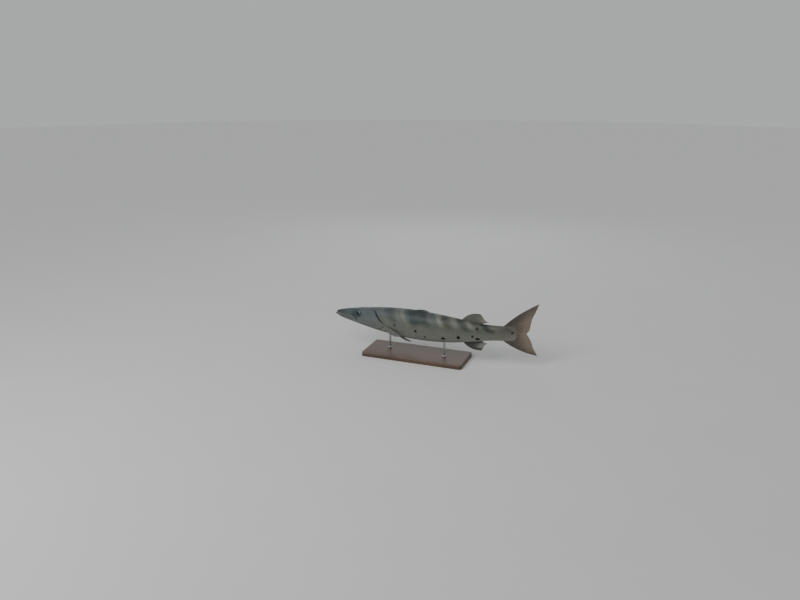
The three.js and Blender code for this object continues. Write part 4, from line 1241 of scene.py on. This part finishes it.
def tail_tip(t):
    w = 2 * t - 1
    high, low = (curve_through(line, np.abs(w)) for line in (TAIL_UP, TAIL_LOW))
    return np.where((w > 0)[:, None], high, low)


fin_tail = fin_piece(
    "tail_rays", 17, tail_base, tail_tip, (-0.05, 0.05), 2.7, 0.7,
    rows=44, notch=0.008, wave=1.6, bare_from=0.46,
)

# %% Paired fins
# Place of the base in percent, how far the fin leans out and down and is twisted, number of rays,
# its root and tips in mm, the rays' curve, their thickness and the rows of the grid
PAIRED = {
    "pectoral": (
        (32.9, -3.4), 0.2, 0.36, 16, 11, [[-9, -8], [-9, 8]],
        [[30, -17], [48, -14], [66, -6], [82, 6], [88, 14]], 0.04, 1.7, 30,
    ),
    "pelvic": (
        (40.6, -7.5), 0.16, 0.22, 38, 6, [[-7, -5], [-7, 6]],
        [[34, -13], [47, -8], [60, 2], [66, 9]], 0.03, 1.9, 26,
    ),
}


def paired(name, side, at, out, down, twist, count, root, tips, bow, crest, rows):
    along = unit(np.array([1.0, side * out, -down]))
    lifted = np.array([0.0, side * math.sin(math.radians(twist)), math.cos(math.radians(twist))])
    across = unit(lifted - along * (lifted @ along))
    s, z = at[0] * PERCENT, at[1] * PERCENT
    origin = np.array([s, side * float(side_at(s, z)), z])
    frame_of_fin = np.stack([along, across, np.cross(along, across)])
    return fin_piece(
        name, count, np.array(root, float), np.array(tips, float), (-bow, bow), crest, 0.5,
        place=lambda u, v, h: origin + vectors(u, v, h) @ frame_of_fin, rows=rows, wave=0.7, notch=0.03,
    )


paired_fins = [
    (paired(f"{kind}_rays_{word}", side, *sizes), f"{kind}_fin_{word}")
    for side, word in SIDES for kind, sizes in PAIRED.items()
]

# %% [markdown]
# Fin skin is thin enough for light to come through, so its material scatters a little light.
# The rays are more solid than the skin between them, with fine joints across them. The fins of
# the back and belly are dark with pale rear tips, the anal fin darkened further by painted shade,
# the paired fins pale, and the tail a smoky brown that warms toward its rear edge.

# %% Fin materials
JOINT_SHADE = "#23231f"


def fin_material(name, root_shade, edge_shade, ray_shade, rear_shade=None, lobe_shade=None):
    """Fin membrane over bony rays, wet: fairly smooth, light passes through the thin web."""
    material, add, sockets = start_material(
        name, Roughness=0.42, Subsurface_Weight=0.3, Subsurface_Scale=0.002, Coat_Weight=0.15,
        Coat_Roughness=0.25, IOR=1.4, Subsurface_Radius=(1.0, 0.85, 0.7),
    )
    ray, place = (add("Attribute", attribute_name=kind, out="Vector") for kind in ("ray", "fish"))
    fan, outward, ridge = add("SeparateXYZ", ray).node.outputs[:3]
    cloud = add("TexNoise", Vector=place, Scale=0.06, Detail=4.0)
    drift = add("Math.ADD", outward, add("Math.MULTIPLY_ADD", cloud, 0.35, -0.175))
    layers = [(edge_shade, (drift, 0.25, 1.0))]
    if rear_shade:
        # The rear tip of the second dorsal and of the anal fin is pale
        layers.append((rear_shade, (fan, 0.1, 0.5), (outward, 0.4, 0.8)))
    if lobe_shade:
        # The tail's upper and lower edges are darker than its middle
        away = add("Math.ABSOLUTE", add("Math.SUBTRACT", fan, 0.5))
        layers.append((lobe_shade, (away, 0.28, 0.5, 0.0, 0.6)))
    # Joints across the soft rays, about 2 mm apart, out of step from ray to ray
    step = add("Math.SINE", add("Math.MULTIPLY_ADD", outward, 300.0, add("Math.MULTIPLY", fan, 140.0)))
    joints = (JOINT_SHADE, (step, 0.6, 0.95), (outward, 0.3, 0.5, 0.0, 0.2), ridge)
    layers += [(ray_shade, ridge, 0.45), joints]
    plug(layered(add, root_shade, *layers), sockets["Base Color"])
    plug(add("Bump", Strength=0.3, Distance=0.0003, Height=cloud), sockets["Normal"])
    return material


spine_skin = fin_material("folded_spine_membrane", "#374141", "#2f3738", "#475050")
dark_skin = fin_material("dark_fin_membrane", "#4b4e46", "#40423c", "#53554d", rear_shade="#66645f")
# The anal fin's own slate colour, darkened further by painted shade
shaded_anal_skin = fin_material("slate_fin_membrane_painted_shade", "#2e2f30", "#28292a", "#3b3d3d", rear_shade="#737471")
tail_skin = fin_material("smoky_tail_membrane", "#48423c", "#7c6f63", "#463f38", lobe_shade="#342e29")
pale_skin = fin_material("pale_fin_membrane", "#5c5e59", "#686a65", "#4e504b")
finish_piece(fin_front, spine_skin, ("dorsal_fin_front",))
finish_piece(fin_rear, dark_skin, ("dorsal_fin_rear",))
finish_piece(fin_anal, shaded_anal_skin, ("anal_fin",))
finish_piece(fin_tail, tail_skin, ("tail_fin",))
for made, node in paired_fins:
    finish_piece(made, pale_skin, (node,))

# %% [markdown]
# ## Teeth
#
# Barracuda teeth are long blades: big fangs at the front of the palate, then a close row of small
# ones on each jaw. One tooth is a tapered bar, flattened and slightly curved back.

# %% Teeth
RINGS, ROUND = 7, 8  # rings of points on a tooth, and points in a ring
TOOTH_FLAT, TOOTH_BEND = 0.62, 0.12


def blade(root, tip, radius):
    """Points of a pointed tooth, a little bent toward the throat."""
    root, tip = np.array(root, float), np.array(tip, float)
    long, along = np.linalg.norm(tip - root), unit(tip - root)
    front = unit(np.cross(along, [0, 1, 0]))
    t = (np.arange(RINGS) / RINGS)[:, None, None]
    angle = (2 * math.pi * np.arange(ROUND) / ROUND)[:, None]
    middle = root + along * long * t - front * TOOTH_BEND * long * t * (1 - t) * np.sign(front[0] or 1)
    ring = front * np.cos(angle) + np.cross(along, front) * TOOTH_FLAT * np.sin(angle)
    return np.concatenate([(middle + radius * (1 - t) ** 0.62 * ring).reshape(-1, 3), [tip]])


blade_size, last = RINGS * ROUND + 1, (RINGS - 1) * ROUND
blade_faces = [
    [k + j, k + (j + 1) % ROUND, k + ROUND + (j + 1) % ROUND, k + ROUND + j]
    for k in range(0, last, ROUND) for j in range(ROUND)
]
blade_faces += [[last + j, last + (j + 1) % ROUND, RINGS * ROUND] for j in range(ROUND)]
blade_faces.append([*range(ROUND - 1, -1, -1)])


def mouth_low(s):
    """Height of the lower lip's edge."""
    return mouth_top(s) - mouth_gap(s)


UPPER_ROW = dict(count=17, first=9, last=82, long=2.7, radius=1.05, inset=2.3)
LOWER_ROW = dict(count=15, first=4, last=84, long=4.3, radius=1.2, inset=3.6)
FANGS = ((9, 3.6, 8.5, 1.5), (19, 4.6, 9, 1.6), (36, 6.4, 7, 1.4), (50, 8.2, 6, 1.3))
CHIN_FANG = (-5.2, 2.1, 5.5, 1.3)
PALATE_DEEP = 5.0
uneven = np.random.default_rng(11)

def tooth_row(row, edge, way):
    made = []
    for side, _ in SIDES:
        for s in np.linspace(row["first"], row["last"], row["count"]):
            long = min(row["long"], mouth_gap(s) - 0.5) * uneven.uniform(0.8, 1.05)
            if long >= 0.6:
                y, z = side * (side_at(s, edge(s)) - row["inset"]), edge(s)
                made.append(blade([s, y, z - way * 1.8], [s + 0.5, y, z + way * long], row["radius"]))
    return made


upper = tooth_row(UPPER_ROW, mouth_top, -1)
lower = tooth_row(LOWER_ROW, mouth_low, 1)
for side, _ in SIDES:
    for s, y, long, radius in FANGS:
        z = mouth_top(s) + PALATE_DEEP
        upper.append(blade([s, side * y, z], [s + 1.2, side * y * 0.9, z - long], radius))
    s, y, long, radius = CHIN_FANG
    z = mouth_low(s)
    lower.append(blade([s, side * y, z - 1.5], [s + 1, side * y * 0.8, z + long], radius))

# Enamel: hard, glossy, off-white, with an uneven cloudy tone.
enamel, add, sockets = start_material(
    "tooth_enamel", Roughness=0.18, IOR=1.62, Subsurface_Weight=0.2, Subsurface_Scale=0.002, Coat_Weight=0.3,
)
cloud = add("TexNoise", Vector=add("Attribute", attribute_name="fish", out="Vector"), Scale=0.7)
plug(layered(add, "#bbb5a6", ("#d6d2c6", cloud)), sockets["Base Color"])
for name, parts in (("teeth_upper", upper), ("teeth_lower", lower)):
    points = np.concatenate(parts)
    made = make_mesh(name, points, copied_faces(blade_faces, len(parts), blade_size))
    finish_piece(set_down(made, points, fish=points), enamel, sharp=50)

# %% [markdown]
# ## Eyes
#
# The eye is large and round, set almost flush, with a wide dark pupil, a silver and blue-green
# iris, and a clear glossy front. Its profile is turned round the eye's own axis: the iris slopes
# in toward the pupil, and the lens bulges out of it. A clear coat gives the wet highlight.

# %% Eyeballs
EYE_RINGS, EYE_AROUND = 30, 64


def eyeball(name, side):
    share = np.linspace(0, 1, EYE_RINGS) ** 0.9
    dome = EYE_DEPTH * np.sqrt(np.maximum(1 - share**2, 0))
    front = vectors(share, dome - 0.35 * bump(share, 0.6, 0.1))
    out, high = np.concatenate([front, vectors(share, -dome)[::-1][1:]]).T[..., None]
    axis = eye_axis * (1, side, 1)
    level = unit(np.array([1.0, 0, 0]) - axis * axis[0])
    turn = np.linspace(0, 2 * math.pi, EYE_AROUND + 1)
    ring = np.cos(turn)[:, None] * level + np.sin(turn)[:, None] * np.cross(axis, level) * side
    points = eye_on_skin * (1, side, 1) + axis * (high[..., None] + EYE_OUT - EYE_DEPTH)
    points = points + EYE_RADIUS * out[..., None] * ring
    faces = grid_faces(*points.shape[:2]).tolist()
    points, faces, where = weld(points.reshape(-1, 3), faces)
    iris = np.zeros((len(points), 3))
    iris[where] = vectors(out * np.cos(turn), out * np.sin(turn), np.sign(high + 0.01)).reshape(-1, 3)
    return set_down(make_mesh(name, points, faces), points, iris=iris)


# A live cornea over iris and lens: near mirror-smooth, with the coat as the clear front.
eye_paint, add, sockets = start_material(
    "wet_eye", Roughness=0.3, IOR=1.376, Specular_IOR_Level=0.2, Coat_Weight=0.7, Coat_Roughness=0.03,
    Coat_IOR=1.376, Metallic=0.1,
)
iris = add("Attribute", attribute_name="iris", out="Vector")
along, rise = add("SeparateXYZ", iris).node.outputs[:2]
# The pupil is a little longer than it is high
wide = add("Math.MULTIPLY", along, 0.93)
out = add("Math.SQRT", add("Math.MULTIPLY_ADD", rise, rise, add("Math.MULTIPLY", wide, wide)))
turn = add("Math.ARCTAN2", rise, along)
fan = [add("Math.MULTIPLY", add(f"Math.{wave}", turn), 7.0) for wave in ("SINE", "COSINE")]
fan = add("CombineXYZ", *fan, add("Math.MULTIPLY", out, 1.6))
streaks = add("TexNoise", Vector=fan, Scale=1.0, Detail=5.0)
# Iris with darker streaks, shade under the brow, the gold ring, the pupil and a dark outer rim
shade = layered(
    add, "#22343e", ("#49626d", (streaks, 0.35, 0.65)), ("#161e22", (rise, 0.1, 0.7, 0.0, 0.8)),
    ("#8d8668", (out, 0.65, 0.6, 0.0, 0.6)), ("#030405", (out, 0.605, 0.58)), ("#14191b", (out, 0.84, 0.96)),
)
plug(shade, sockets["Base Color"])
for side, word in SIDES:
    finish_piece(eyeball(f"eyeball_{word}", side), eye_paint, (f"eye_{word}",))

# %% [markdown]
# ## The stand
#
# The photo's fish swims free, so a plain stand carries it: a varnished wooden board and two steel
# rods. The solids of both already have the right shape, so they stay and only get their finish.

# %% Stand finishes
# Dark varnished walnut: long grain under a clear, slightly soft coat.
walnut, add, sockets = start_material(
    "varnished_walnut", Roughness=0.55, Coat_Weight=0.25, Coat_Roughness=0.3,
)
at = add("TexCoord", out="Object")
fibres = add("TexNoise", Vector=add("Mapping", Vector=at, Scale=(4.0, 60.0, 60.0)), Scale=2.2, Detail=6.0)
rings = add(
    "TexWave", Vector=add("Mapping", Vector=at, Scale=(0.9, 9.0, 9.0)), Scale=1.6, Distortion=7.0, Detail=3.0,
    Detail_Scale=1.4, bands_direction="Y", out="Fac",
)
# Open pores: short dark dashes along the grain, about 0.3 mm wide
stretched = add("Mapping", Vector=at, Scale=(60.0, 1500.0, 1500.0))
dashes = add("TexNoise", Vector=stretched, Scale=1.0, Detail=1.0)
wood = layered(
    add, "#33231a", ("#4a3526", rings), ("#5b4331", fibres, 0.5), ("#1d140e", (dashes, 0.62, 0.72), 0.55),
)
plug(wood, sockets["Base Color"])
# Brushed stainless steel: fine turning marks round the rod.
steel, add, sockets = start_material("brushed_steel", Metallic=1.0, Roughness=0.3)
round_way = add("Mapping", Vector=add("TexCoord", out="Object"), Scale=(40.0, 40.0, 2400.0))
lines = add("TexNoise", Vector=round_way, Scale=1.0, Detail=3.0)
plug(layered(add, "#8f9294", ("#c4c7c9", lines)), sockets["Base Color"])

plug(add("MapRange", lines, 0.2, 0.8, 0.24, 0.4), sockets["Roughness"])
for node, finish in (("stand_base", walnut), ("stand_rod_front", steel), ("stand_rod_rear", steel)):
    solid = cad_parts[node]
    solid.data.materials.clear()
    solid.data.materials.append(finish)

# %% [markdown]
# Each rod stands in a small turned collar, as a bought display rod does. The collar starts as a
# cylinder, its top edge is bevelled, and a ring is inset and sunk round the rod.

# %% Rod collars
COLLAR_RADIUS, COLLAR_HIGH = 0.0085, 0.0045
COLLAR_RIM, COLLAR_STEP, COLLAR_SUNK, COLLAR_EDGE = 0.0028, 0.0006, 0.0008, 0.0007
for word in ("front", "rear"):
    low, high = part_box(f"stand_rod_{word}")
    bpy.ops.object.select_all(action="DESELECT")
    bpy.ops.mesh.primitive_cylinder_add(
        vertices=64, radius=COLLAR_RADIUS, depth=COLLAR_HIGH,
        location=((low.x + high.x) / 2, (low.y + high.y) / 2, low.z + COLLAR_HIGH / 2),
    )
    collar = bpy.context.object
    collar.name = f"rod_collar_{word}"
    bpy.ops.object.mode_set(mode="EDIT")
    bpy.ops.mesh.select_all(action="DESELECT")
    bpy.ops.object.mode_set(mode="OBJECT")
    for face in collar.data.polygons:
        face.select = face.normal.z > 0.9
    bpy.ops.object.mode_set(mode="EDIT")
    bpy.ops.mesh.inset(thickness=COLLAR_RIM, depth=0)
    bpy.ops.mesh.inset(thickness=COLLAR_STEP, depth=-COLLAR_SUNK)
    bpy.ops.object.mode_set(mode="OBJECT")
    rounding = collar.modifiers.new("rounding", "BEVEL")
    rounding.width, rounding.segments, rounding.limit_method = COLLAR_EDGE, 3, "ANGLE"
    bpy.ops.object.modifier_apply(modifier="rounding")
    bpy.ops.object.transform_apply(location=True, rotation=True, scale=True)
    finish_piece(collar, steel, sharp=30)

# %% [markdown]
#
# At the end the scene is brought up to date.

# %% Update the scene
bpy.context.view_layer.update()
